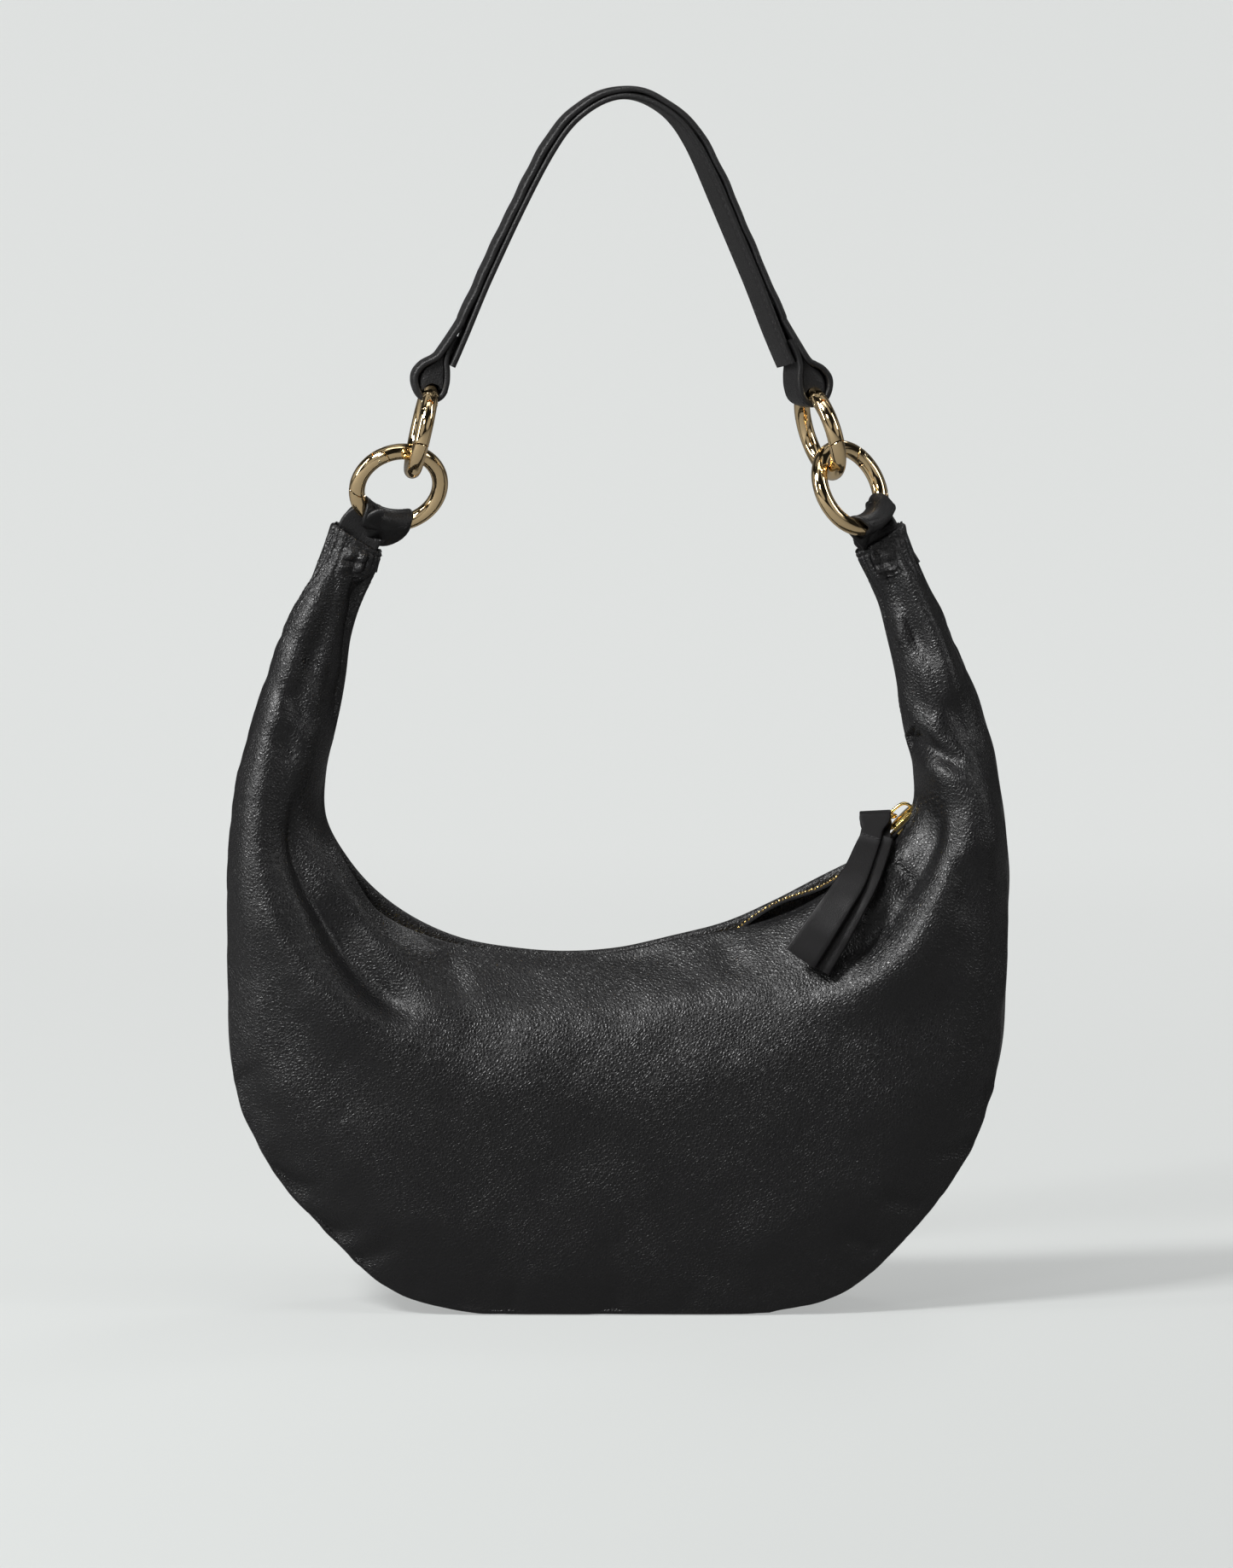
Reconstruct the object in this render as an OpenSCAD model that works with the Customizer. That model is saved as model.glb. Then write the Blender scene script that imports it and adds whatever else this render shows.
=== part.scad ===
/* [Bag body] */
// Depth of the bag, front to back, at its fullest
bag_depth = 76; // [66:1:76]
// Clear width of the mouth between the front and back edges
mouth_w = 16; // [15:0.5:18]
// Thickness of the outer leather
leather_t = 1.3; // [1:0.1:1.5]
// Thickness of the lining cloth
lining_t = 0.5; // [0.4:0.1:0.6]

/* [Rings] */
// Inner diameter of each spring-gate ring
ring_inner_d = 25.6; // [25:0.1:26]
// Diameter of the ring wire
wire_d = 6; // [5.8:0.1:6]
// Angle of ring closed by each gate
gate_arc = 62; // [56:1:64]

/* [Strap] */
// Width of the shoulder strap
strap_w = 21; // [18:0.5:22]
// Total thickness of the strap
strap_t = 3.8; // [3.4:0.1:4.2]

/* [Zip] */
// Radius of the arc that the zip follows
zip_r = 172.5; // [172:0.1:173]
// Pitch of the teeth in one row
tooth_pitch = 2.5; // [2.4:0.1:3]

/* [Hidden] */
$fn = 48;

// Outline of the crescent, x and z, from each arm's mouth down to the middle
OUTL = [[-106.5, 293.5], [-113.5, 276], [-121, 261], [-128, 245], [-134.5, 226.5],
    [-139.5, 207], [-143.5, 182], [-145.8, 155], [-145.8, 122], [-142.5, 82],
    [-129, 50], [-108, 25], [-82, 7], [-46, 0], [0, 0]];
OUT = concat(OUTL, [for (i = [13:-1:0]) [-OUTL[i][0], OUTL[i][1]]]);
// Inner edge of the crescent, from the left arm's mouth to the right arm's
IN = [[-89, 282.5], [-92, 275], [-98, 265], [-101.5, 251], [-103.5, 236], [-107, 218],
    [-110, 201], [-109.5, 184], [-103, 169.5], [-92.5, 157], [-78, 146], [-60, 138.5],
    [-40, 134.5], [-20, 133], [0, 134], [20, 139], [40, 144], [58, 151.5], [75, 160],
    [90, 167.5], [103, 175], [110.5, 187], [111, 201], [107, 218], [104, 236],
    [100.5, 251], [97, 265], [92, 275], [89, 282.5]];
// Half opening of the mouth at each station, closed to a seam along the arms
mh = mouth_w / 2;
EE = [0.8, 0.8, 0.8, 0.8, 0.8, 0.8, 0.8, 3, 7, 7.8, mh, mh, mh, mh, mh, mh, mh, mh, mh,
    mh, mh, 7.4, 1.6, 0.8, 0.8, 0.8, 0.8, 0.8, 0.8];
// Half depth, and half width of the gusset, at each station
DL = [5.2, 7, 9.5, 12, 15, 18, 21.5, 25, 29, 32.5, 35, 37, 38, 38, 38];
GL = [3.6, 4, 5, 6, 7.5, 9.5, 12, 15, 18, 21, 24, 27, 29, 30, 30];
DD = [for (i = [0:28]) DL[i < 15 ? i : 28 - i] * (i < 3 || i > 25 ? 1 : bag_depth / 76)];
GG = [for (i = [0:28]) GL[i < 15 ? i : 28 - i]];
// Half section: place between the inner and outer edge, then shares of mouth, depth and gusset
PROF = [[0, 1, 0, 0], [0.035, 0.72, 0.22, 0], [0.1, 0.35, 0.5, 0], [0.2, 0.1, 0.78, 0],
    [0.35, 0, 0.97, 0], [0.55, 0, 1, 0], [0.75, 0, 0.93, 0.07], [0.88, 0, 0.55, 0.45],
    [0.96, 0, 0.2, 0.8], [1, 0, 0, 1]];

function cr(L, t) = let (n = len(L) - 1, i = max(0, min(floor(t), n - 1)), f = t - i,
    a = L[max(i - 1, 0)], b = L[i], c = L[i + 1], d = L[min(i + 2, n)])
    0.5 * (2 * b + (c - a) * f + (2 * a - 5 * b + 4 * c - d) * f * f
    + (3 * b - a - 3 * c + d) * f * f * f);
function unit(v) = v / norm(v);

// How far the front edge of the mouth sags below the back edge
function sm(x, a, b) = let (t = max(0, min(1, (x - a) / (b - a)))) t * t * (3 - 2 * t);
function sag(u, g) = g < 0 ? 0 : 4 * sm(u, 7.6, 9.3) * (1 - sm(u, 9.3, 12)) + 5.2 * sm(u, 14.9, 17.6) * (1 - sm(u, 17.6, 20.2));
function edge(u, g) = let (a = cr(IN, u)) a + unit(cr(OUT, u) - a) * sag(u, g);
// A point of the front (g = 1) or back (g = -1) panel at station u and section place s
function pp(u, s, g) = let (a = edge(u, g), b = cr(OUT, u), w = cr(PROF, s * (len(PROF) - 1)),
    p = a + (b - a) * w[0], y = w[1] * cr(EE, u) + w[2] * cr(DD, u) + w[3] * cr(GG, u))
    [p[0], -g * y, max(p[1], 0)];
// A point of the gusset at station u, q from -1 at the front to 1 at the back
function pg(u, q, g) = let (b = cr(OUT, u)) [b[0], q * cr(GG, u), max(b[1], 0)];
function surf(k, u, s, g) = k == 0 ? pp(u, s, g) : pg(u, s, g);
function normal(k, u, s, g) = let (e = 0.02,
    u0 = max(u - e * 5, 0), u1 = min(u + e * 5, 28),
    s0 = k == 0 ? max(s - e, 0) : s - e, s1 = k == 0 ? min(s + e, 1) : s + e,
    du = surf(k, u1, s, g) - surf(k, u0, s, g), ds = surf(k, u, s1, g) - surf(k, u, s0, g))
    unit(cross(du, ds)) * (k == 0 ? -g : -1);
function off(k, u, s, g, d) = surf(k, u, s, g) - normal(k, u, s, g) * d;

function quad(a, b, c, d, f) = f ? [[a, b, c], [a, c, d]] : [[a, c, b], [a, d, c]];
// A closed sheet between two grids of points
module sheet(A, B, f) {
    n = len(A);
    m = len(A[0]);
    r = 2 * m;
    pts = [for (i = [0:n - 1]) each concat(A[i], [for (j = [m - 1:-1:0]) B[i][j]])];
    polyhedron(pts, concat(
        [for (i = [0:n - 2]) for (k = [0:r - 1])
            each quad(i * r + k, i * r + (k + 1) % r, (i + 1) * r + (k + 1) % r, (i + 1) * r + k, f)],
        [for (j = [0:m - 2]) each quad(j + 1, j, r - 1 - j, r - 2 - j, f)],
        [for (j = [0:m - 2]) let (o = (n - 1) * r)
            each quad(o + j, o + j + 1, o + r - 2 - j, o + r - 1 - j, f)]), convexity = 10);
}
module skin(k, u0, u1, nu, s0, s1, ns, a, b, g, f) {
    U = [for (i = [0:nu]) u0 + (u1 - u0) * i / nu];
    S = [for (j = [0:ns]) s0 + (s1 - s0) * j / ns];
    sheet([for (u = U) [for (s = S) off(k, u, s, g, a)]],
        [for (u = U) [for (s = S) off(k, u, s, g, b)]], f);
}

black = [0.06, 0.06, 0.065];
dark = [0.13, 0.13, 0.14];
gold = [0.86, 0.7, 0.4];
steel = [0.6, 0.6, 0.62];

module front_panel() { color(black) skin(0, 0, 28, 56, 0, 0.972, 12, 0, leather_t, 1, false); }
module back_panel() { color(black) skin(0, 0, 28, 56, 0, 0.972, 12, 0, leather_t, -1, true); }
module base_gusset() { color(black) skin(1, 0, 28, 56, -0.8, 0.8, 4, 0, leather_t, 1, false); }

// The lining hangs inside the leather with a small air gap
lo = leather_t + 0.4;
module lining_front() { color(dark) skin(0, 6.5, 21.5, 30, 0.16, 0.93, 9, lo, lo + lining_t, 1, false); }
module lining_back() { color(dark) skin(0, 6.5, 21.5, 30, 0.16, 0.93, 9, lo, lo + lining_t, -1, true); }
module lining_base() { color(dark) skin(1, 6.5, 21.5, 30, -0.8, 0.8, 3, lo, lo + lining_t, 1, false); }
// An open pocket sewn to the back lining
module slip_pocket() { color(dark) skin(0, 11.5, 16.5, 10, 0.3, 0.7, 5, lo + lining_t + 1, lo + lining_t + 1.5, -1, true); }

// Zip: everything on it follows one arc about a level axis
zip_c = [-14, 304];
zip_a0 = -118;
zip_a1 = -45;
tooth_w = 1.05;
module at_zip(a = 0) { translate([zip_c[0], 0, zip_c[1]]) rotate([90, 0, 0]) rotate([0, 0, a]) children(); }
module zip_arc(a0, a1) { at_zip(a0) rotate_extrude(angle = a1 - a0, $fn = 180) children(); }

// A leather strip that stands under the mouth's edge, from the edge down past the zip tape
module facing(g) {
    U = [for (i = [0:42]) 7.6 + 13.2 * i / 42];
    function fp(u, d, y) = let (p = edge(u, g), q = cr(OUT, u), t = unit(q - p), e = cr(EE, u))
        [p[0] + t[0] * d, -g * (e - y), p[1] + t[1] * d];
    sheet([for (u = U) [fp(u, 1.2, 1.1), fp(u, 5, 1.1), fp(u, 9.5, 1.1)]],
        [for (u = U) [fp(u, 1.2, 1.9), fp(u, 5, 1.9), fp(u, 9.5, 1.9)]], g < 0);
}
module zip_facing_front() { color(black) facing(1); }
module zip_facing_back() { color(black) facing(-1); }
module zip_tape_front() { color(dark) zip_arc(zip_a0 + 3, zip_a1 + 2) translate([zip_r - 0.25, 1.7]) square([0.5, 4]); }
module zip_tape_back() { color(dark) zip_arc(zip_a0 + 3, zip_a1 + 2) translate([zip_r - 0.25, -5.7]) square([0.5, 4]); }
pitch_a = tooth_pitch / zip_r * 180 / PI;
teeth = floor((zip_a1 - zip_a0 - 6) / pitch_a);
module teeth_row(g) {
    for (i = [0:teeth - 1]) at_zip(zip_a0 + 3.6 + (i + (g > 0 ? 0 : 0.5)) * pitch_a)
        difference() {
            translate([zip_r - 1.3, -tooth_w / 2, g > 0 ? -0.9 : -2.9]) cube([2.6, tooth_w, 3.8]);
            translate([zip_r - 0.32, -tooth_w, g > 0 ? 1.6 : -3.2]) cube([0.64, 2 * tooth_w, 1.6]);
        }
}
module zip_teeth_front() { color(gold) teeth_row(1); }
module zip_teeth_back() { color(gold) teeth_row(-1); }
module zip_end_stops() {
    color(gold) {
        zip_arc(zip_a0 + 2.3, zip_a0 + 2.95) translate([zip_r - 1.4, -2.9]) square([2.8, 5.8]);
        for (z = [2.9, -4.9]) zip_arc(zip_a1 + 2.3, zip_a1 + 2.9) translate([zip_r - 0.9, z]) square([1.8, 2]);
    }
}

// Slider: two plates joined by a post at the nose, with flanges that guide the teeth
sl_half = 2.3;
module zip_slider() {
    color(gold) {
        difference() {
            zip_arc(zip_a1 - sl_half, zip_a1 + sl_half) polygon([[zip_r - 3.2, -4.8], [zip_r + 3, -4.8],
                [zip_r + 3, 4.8], [zip_r - 3.2, 4.8]]);
            zip_arc(zip_a1 - 3, zip_a1 + 3) translate([zip_r - 1.8, -3.4]) square([3.6, 6.8]);
            zip_arc(zip_a1 - 3, zip_a1 + 3) translate([zip_r - 0.7, -6]) square([1.4, 12]);
        }
        zip_arc(zip_a1 + 1.2, zip_a1 + sl_half) translate([zip_r - 2, -1.2]) square([4, 2.4]);
        at_zip(zip_a1) translate([zip_r - 3, -1.5, 0]) rotate([0, 0, 90])
            rotate_extrude(angle = 180, $fn = 48) translate([3.2, 0]) circle(0.75, $fn = 24);
    }
}
// Oval link: its end runs through the slider's bridge, its front limb carries the pull
lk_w = 3;
lk_l = 9;
lk_r = 0.8;
lk_h = [103.75, 0, 184.15];
lk_d = unit([-0.999, 0, -0.05]);
lk_n = cross(lk_d, [0, 1, 0]);
lk_f = lk_h + (lk_w + lk_l / 2) * lk_d - [0, lk_w, 0];
module frame_at(o, x, y, z) {
    multmatrix([[x[0], y[0], z[0], o[0]], [x[1], y[1], z[1], o[1]], [x[2], y[2], z[2], o[2]], [0, 0, 0, 1]]) children();
}
module zip_link() {
    color(gold) frame_at(lk_h, lk_d, [0, 1, 0], lk_n) {
        translate([lk_w, 0, 0]) rotate([0, 0, 90]) rotate_extrude(angle = 180, $fn = 64) translate([lk_w, 0]) circle(lk_r, $fn = 24);
        translate([lk_w + lk_l, 0, 0]) rotate([0, 0, -90]) rotate_extrude(angle = 180, $fn = 64) translate([lk_w, 0]) circle(lk_r, $fn = 24);
        for (k = [-1, 1]) translate([lk_w, k * lk_w, 0]) rotate([0, 90, 0]) cylinder(r = lk_r, h = lk_l, $fn = 24);
    }
}

// Pull: a strip folded over the link, both ends hanging over the front edge and clear of it.
// Places on its inner face: distance down from the link, and y
PULL = [[5.5, -8.5], [9, -12], [15, -17], [22, -22.5], [32, -28], [44, -31], [58, -32.5]];
pull_x = unit([-28, 0, -52]);
pull_w = [0.9, -0.1, -0.1];
function pull_p(t) = let (q = cr(PULL, t)) [lk_f[0], 0, lk_f[2]] + pull_x * q[0] + [0, q[1], 0];
function pull_d(t) = unit(pull_p(min(t + 0.05, 6)) - pull_p(max(t - 0.05, 0)));
function pull_s(t) = let (d = pull_d(t)) unit(pull_w - (pull_w * d) * d);
module pull_strip(n0, n1, t1, wa, wb) {
    T = [for (i = [0:18]) t1 * i / 18];
    function at(t, k, h) = pull_p(t) + pull_s(t) * k * (wa + (wb - wa) * t / 6) / 2 + cross(pull_d(t), pull_s(t)) * h;
    sheet([for (t = T) [for (k = [-1, 1]) at(t, k, n0)]], [for (t = T) [for (k = [-1, 1]) at(t, k, n1)]], false);
}
module pull_tab_front() { color(black) pull_strip(1.9, 3.5, 5.8, 8, 13.6); }
module pull_tab_back() { color(black) pull_strip(0, 1.6, 6, 8, 14); }
module pull_tab_fold() {
    f = pull_p(0) + cross(pull_d(0), pull_s(0)) * 1.75 - pull_d(0) * 1.3;
    d = unit(f - lk_f);
    n = unit(cross(lk_d, d));
    color(black) difference() {
        union() {
            frame_at(lk_f, n, cross(lk_d, n), lk_d) cylinder(r = 2, h = 8, center = true);
            frame_at(lk_f, n, cross(lk_d, n), lk_d) translate([-1.7, cross(lk_d, n) * d > 0 ? 0 : -norm(f - lk_f), -3.8]) cube([3.4, norm(f - lk_f), 7.6]);
        }
        frame_at(lk_f, n, cross(lk_d, n), lk_d) cylinder(r = lk_r + 0.06, h = 20, center = true, $fn = 24);
    }
}

// Rings: wire_r about a circle of ring_r, gate hinged on a pin across the wire
wire_r = wire_d / 2;
ring_r = (ring_inner_d + wire_d) / 2;
module torus(r, a0 = 0, a1 = 360) {
    rotate([0, 0, a0]) rotate_extrude(angle = a1 - a0, $fn = 96) translate([ring_r, 0]) circle(r, $fn = 48);
}
catch_r = 2 * ring_r * sin(gate_arc / 2);
module at_pin(p) { rotate([0, 0, p]) translate([ring_r, 0, 0]) children(); }
// Gate side runs from the pin at angle p counter-clockwise by gate_arc
module gate_side(p, c) {
    intersection() {
        torus(wire_r, p, p + gate_arc + 30);
        at_pin(p) cylinder(r = catch_r + c, h = 20, center = true, $fn = 96);
    }
}
module ring_body(p) {
    color(gold) difference() {
        union() {
            difference() {
                torus(wire_r, p + gate_arc - 10, p + 360);
                intersection() {
                    at_pin(p) cylinder(r = catch_r + 0.2, h = 20, center = true, $fn = 96);
                    at_pin(p) translate([-60, 1, -8]) cube([120, 60, 16]);
                }
                at_pin(p) cylinder(r = 3.7, h = 20, center = true);
            }
            at_pin(p) cylinder(r = 2.7, h = 2, center = true);
            at_pin(p) rotate([0, 0, -8.5]) translate([-2.2, -6.5, -1]) cube([4.4, 6.5, 2]);
        }
        at_pin(p) cylinder(r = 0.82, h = 20, center = true, $fn = 24);
    }
}
module ring_gate(p) {
    color(gold) difference() {
        union() {
            difference() {
                gate_side(p, 0);
                at_pin(p) cylinder(r = 3.3, h = 20, center = true);
            }
            intersection() {
                torus(wire_r, p - 20, p + 20);
                at_pin(p) cylinder(r = 3.4, h = 20, center = true);
            }
        }
        at_pin(p) translate([0, 0, -1.25]) cylinder(r = 3.42, h = 3.35);
        at_pin(p) cylinder(r = 0.86, h = 20, center = true, $fn = 24);
    }
}
module ring_pin(p) { color(steel) at_pin(p) cylinder(r = 0.8, h = 5.3, center = true, $fn = 24); }
// A wire spring coiled on the pin, between the tongue and one ear
module ring_spring(p) {
    color(steel) at_pin(p) translate([0, 0, 1.55]) rotate_extrude(angle = 330, $fn = 48) translate([1.5, 0]) circle(0.35, $fn = 24);
}

// Where the upper rings pass round the lower rings, on one level line
link_y = -9;
link_z = 320.5;
WL = [-75.5, link_y, link_z];
WR = [77.5, link_y, link_z];
link_d = wire_d + 0.6;
function rect(x, y) = let (c = cross(x, y)) [x, y, c];
// Lower left ring: link at 45 degrees, tab at 225 degrees
ll_x = unit([0.924, 0, 0.383]);
ll_y = unit([-0.325, -0.53, 0.784]);
ll_c = WL - ring_r * (cos(45) * ll_x + sin(45) * ll_y);
ll_b = WL - 2 * ring_r * (cos(45) * ll_x + sin(45) * ll_y);
// Lower right ring: link at 188 degrees, tab at 8 degrees
lr_x = unit([0.485, 0, -0.874]);
lr_y = unit([0.562, 0.766, 0.312]);
lr_c = WR - ring_r * (cos(188) * lr_x + sin(188) * lr_y);
lr_b = WR - 2 * ring_r * (cos(188) * lr_x + sin(188) * lr_y);
// Upper rings: link at 270 degrees, strap loop at 90 degrees
ul_y = unit([0.22, 0, 0.976]);
ur_y = unit([-0.3, 0, 0.954]);
function side(u, a) = let (h = [sin(a), -cos(a), 0]) unit(h - (h * u) * u);
ul_x = side(ul_y, 5);
ur_x = side(ur_y, 18);
ul_c = WL + (ring_r - link_d) * ul_y;
ur_c = WR + (ring_r - link_d - 2.7) * ur_y;
module in_ll() { frame_at(ll_c, ll_x, ll_y, cross(ll_x, ll_y)) children(); }
module in_lr() { frame_at(lr_c, lr_x, lr_y, cross(lr_x, lr_y)) children(); }
module in_ul() { frame_at(ul_c, ul_x, ul_y, cross(ul_x, ul_y)) children(); }
module in_ur() { frame_at(ur_c, ur_x, ur_y, cross(ur_x, ur_y)) children(); }
// Rings whose gate runs the other way are the same ring turned over
module turned() { rotate([180, 0, 0]) children(); }
ll_p = 98;
lr_p = -118;
up_p = -42;
module left_lower_ring() { in_ll() ring_body(ll_p); }
module left_lower_gate() { in_ll() ring_gate(ll_p); }
module left_lower_pin() { in_ll() ring_pin(ll_p); }
module left_lower_spring() { in_ll() ring_spring(ll_p); }
module right_lower_ring() { in_lr() turned() ring_body(lr_p); }
module right_lower_gate() { in_lr() turned() ring_gate(lr_p); }
module right_lower_pin() { in_lr() turned() ring_pin(lr_p); }
module right_lower_spring() { in_lr() turned() ring_spring(lr_p); }
module left_upper_ring() { in_ul() turned() ring_body(up_p); }
module left_upper_gate() { in_ul() turned() ring_gate(up_p); }
module left_upper_pin() { in_ul() turned() ring_pin(up_p); }
module left_upper_spring() { in_ul() turned() ring_spring(up_p); }
module right_upper_ring() { in_ur() turned() ring_body(up_p); }
module right_upper_gate() { in_ur() turned() ring_gate(up_p); }
module right_upper_pin() { in_ur() turned() ring_pin(up_p); }
module right_upper_spring() { in_ur() turned() ring_spring(up_p); }

// Leather sleeve round the ring's wire, about ring angle a
tun = wire_r + 0.4;
slv = wire_r + 2.2;
module sleeve(a, h) {
    difference() { torus(slv, a - h, a + h); torus(tun, a - h - 5, a + h + 5); }
}
// Tabs: sleeve, then a neck that leads down to the arm's mouth
ML = [-97.75, 0.5, 288];
MR = [97.75, -0.5, 288];
ml_w = unit([0.847, 0, -0.532]);
mr_w = unit([0.847, 0, 0.532]);
module slab(c, w, t, l, sw, st, sl) { frame_at(c, w, t, l) cube([sw, st, sl], center = true); }
module tab(b, c, x, y, a, m, w, dn) {
    tau = unit(-sin(a) * x + cos(a) * y);
    o = unit(cos(a) * x + sin(a) * y);
    nz = cross(x, y);
    k = m - dn * 4.2;
    color(black) difference() {
        union() {
            frame_at(c, x, y, nz) torus(slv, a - 29, a + 29);
            hull() {
                slab(b + o * 3.6, tau, nz, cross(tau, nz), 17, 4.6, 1.6);
                slab(k, w, cross(dn, w), dn, 16.5, 4.4, 0.8);
            }
        }
        frame_at(c, x, y, nz) torus(tun, a - 50, a + 50);
    }
}
module anchor(m, w, dn) { color(black) slab(m + dn * 7.5, w, cross(dn, w), dn, 11, 3.4, 15); }
dl = unit([-0.532, 0, -0.847]);
dr = unit([0.532, 0, -0.847]);
module left_ring_tab() { tab(ll_b, ll_c, ll_x, ll_y, 225, ML, ml_w, dl); }
module right_ring_tab() { tab(lr_b, lr_c, lr_x, lr_y, 8, MR, mr_w, dr); }
module left_tab_anchor() { anchor(ML, ml_w, dl); }
module right_tab_anchor() { anchor(MR, mr_w, dr); }

// Strap: an arch of two leather layers on a thin core, closed round the upper rings
ARCH = [[-66.6, 352.8], [-64.4, 357.5], [-59, 370], [-53, 382.5], [-47, 395.5], [-41, 408.3],
    [-35, 421], [-28, 434], [-18.5, 447], [0, 456.4]];
ARC = concat(ARCH, [for (i = [8:-1:0]) [-ARCH[i][0], ARCH[i][1]]]);
function arc_dir(t) = unit(cr(ARC, min(t + 0.05, 18)) - cr(ARC, max(t - 0.05, 0)));
function yaw(t) = 4 + 7 * t / 18;
function ap(t, d, k) = let (p = cr(ARC, t), q = arc_dir(t), a = yaw(t), w = [-sin(a), cos(a), 0])
    [p[0] - q[1] * d, link_y, p[1] + q[0] * d] + w * k;
module ribbon(d0, d1, w, t0, t1) {
    T = [for (i = [0:54]) t0 + (t1 - t0) * i / 54];
    K = [-w / 2, 0, w / 2];
    sheet([for (t = T) [for (k = K) ap(t, d1, k)]], [for (t = T) [for (k = K) ap(t, d0, k)]], true);
}
module strap_outer() { color(black) ribbon(0.35, strap_t / 2, strap_w, 0, 18); }
module strap_inner() { color(black) ribbon(-strap_t / 2, -0.35, strap_w, 0, 18); }
module strap_core() { color(dark) ribbon(-0.25, 0.25, strap_w - 3, 0.4, 17.6); }
module strap_loop(c, x, y, e, t) {
    nz = cross(x, y);
    q = arc_dir(t);
    a = yaw(t);
    w = [-sin(a), cos(a), 0];
    color(black) union() {
        frame_at(c, x, y, nz) sleeve(90, 36);
        difference() {
            hull() {
                slab(c + y * (ring_r + 4), x, nz, y, 18.5, 4.4, 1);
                slab([cr(ARC, t)[0], link_y, cr(ARC, t)[1]] - e * [q[0], 0, q[1]] * 1.9, unit(w - (w * [q[0], 0, q[1]]) * [q[0], 0, q[1]]),
                    unit(cross([q[0], 0, q[1]], w)), [q[0], 0, q[1]], strap_w, strap_t, 1);
            }
            frame_at(c, x, y, nz) torus(tun);
        }
    }
}
module left_strap_loop() { strap_loop(ul_c, ul_x, ul_y, 1, 0); }
module right_strap_loop() { strap_loop(ur_c, ur_x, ur_y, -1, 18); }

front_panel();
back_panel();
base_gusset();
lining_front();
lining_back();
lining_base();
slip_pocket();
zip_facing_front();
zip_facing_back();
zip_tape_front();
zip_tape_back();
zip_teeth_front();
zip_teeth_back();
zip_end_stops();
zip_slider();
zip_link();
pull_tab_fold();
pull_tab_front();
pull_tab_back();
left_tab_anchor();
right_tab_anchor();
left_ring_tab();
right_ring_tab();
left_lower_ring();
left_lower_gate();
left_lower_pin();
left_lower_spring();
right_lower_ring();
right_lower_gate();
right_lower_pin();
right_lower_spring();
left_upper_ring();
left_upper_gate();
left_upper_pin();
left_upper_spring();
right_upper_ring();
right_upper_gate();
right_upper_pin();
right_upper_spring();
strap_outer();
strap_inner();
strap_core();
left_strap_loop();
right_strap_loop();
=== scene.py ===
"""Looks of a soft crescent hobo bag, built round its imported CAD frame. Lengths below are in mm unless said otherwise."""

import math

import bmesh
import bpy
import numpy as np
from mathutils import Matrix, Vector
from mathutils.bvhtree import BVHTree


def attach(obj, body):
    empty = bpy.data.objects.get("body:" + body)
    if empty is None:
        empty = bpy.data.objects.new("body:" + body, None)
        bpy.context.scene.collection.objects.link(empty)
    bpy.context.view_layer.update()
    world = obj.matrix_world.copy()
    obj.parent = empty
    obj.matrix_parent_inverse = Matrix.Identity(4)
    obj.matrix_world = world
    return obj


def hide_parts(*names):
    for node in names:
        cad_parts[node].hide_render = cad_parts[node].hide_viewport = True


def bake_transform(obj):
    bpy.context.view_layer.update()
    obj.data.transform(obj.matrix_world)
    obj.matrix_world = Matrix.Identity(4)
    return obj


MM = 0.001
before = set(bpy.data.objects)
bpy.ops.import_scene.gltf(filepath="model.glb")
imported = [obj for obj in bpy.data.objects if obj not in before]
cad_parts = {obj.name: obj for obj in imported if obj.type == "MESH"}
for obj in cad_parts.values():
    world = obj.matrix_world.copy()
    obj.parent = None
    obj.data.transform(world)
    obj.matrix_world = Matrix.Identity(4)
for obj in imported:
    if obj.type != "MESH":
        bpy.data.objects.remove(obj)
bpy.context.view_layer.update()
rng = np.random.default_rng(11)


# ---------------------------------------------------------------- maths
def unit(v):
    v = np.asarray(v, float)
    n = np.linalg.norm(v, axis=-1, keepdims=True)
    return v / np.maximum(n, 1e-12)


def cr(L, t):
    """Catmull-Rom through the rows of L at the positions t."""
    L = np.asarray(L, float)
    if L.ndim == 1:
        L = L[:, None]
    t = np.asarray(t, float)
    n = len(L) - 1
    i = np.clip(np.floor(t).astype(int), 0, n - 1)
    f = (t - i)[..., None]
    a, b, c, d = L[np.maximum(i - 1, 0)], L[i], L[i + 1], L[np.minimum(i + 2, n)]
    r = 0.5 * (2 * b + (c - a) * f + (2 * a - 5 * b + 4 * c - d) * f * f + (3 * b - a - 3 * c + d) * f ** 3)
    return r[..., 0] if r.shape[-1] == 1 else r


def smooth(x, a=0.0, b=1.0):
    x = np.clip((np.asarray(x, float) - a) / (b - a), 0, 1)
    return x * x * (3 - 2 * x)


def bump(x, a, m, b):
    return smooth(x, a, m) * (1 - smooth(x, m, b))


def grid_normals(P):
    du = np.gradient(P, axis=0)
    dv = np.gradient(P, axis=1)
    return unit(np.cross(du, dv))


def resample(P, step):
    P = np.asarray(P, float)
    T = cr(P, np.linspace(0, len(P) - 1, 40 * len(P)))
    s = np.concatenate([[0], np.cumsum(np.linalg.norm(np.diff(T, axis=0), axis=1))])
    n = max(int(round(s[-1] / step)), 2)
    q = np.linspace(0, s[-1], n + 1)
    return np.stack([np.interp(q, s, T[:, k]) for k in range(T.shape[1])], 1)


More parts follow.
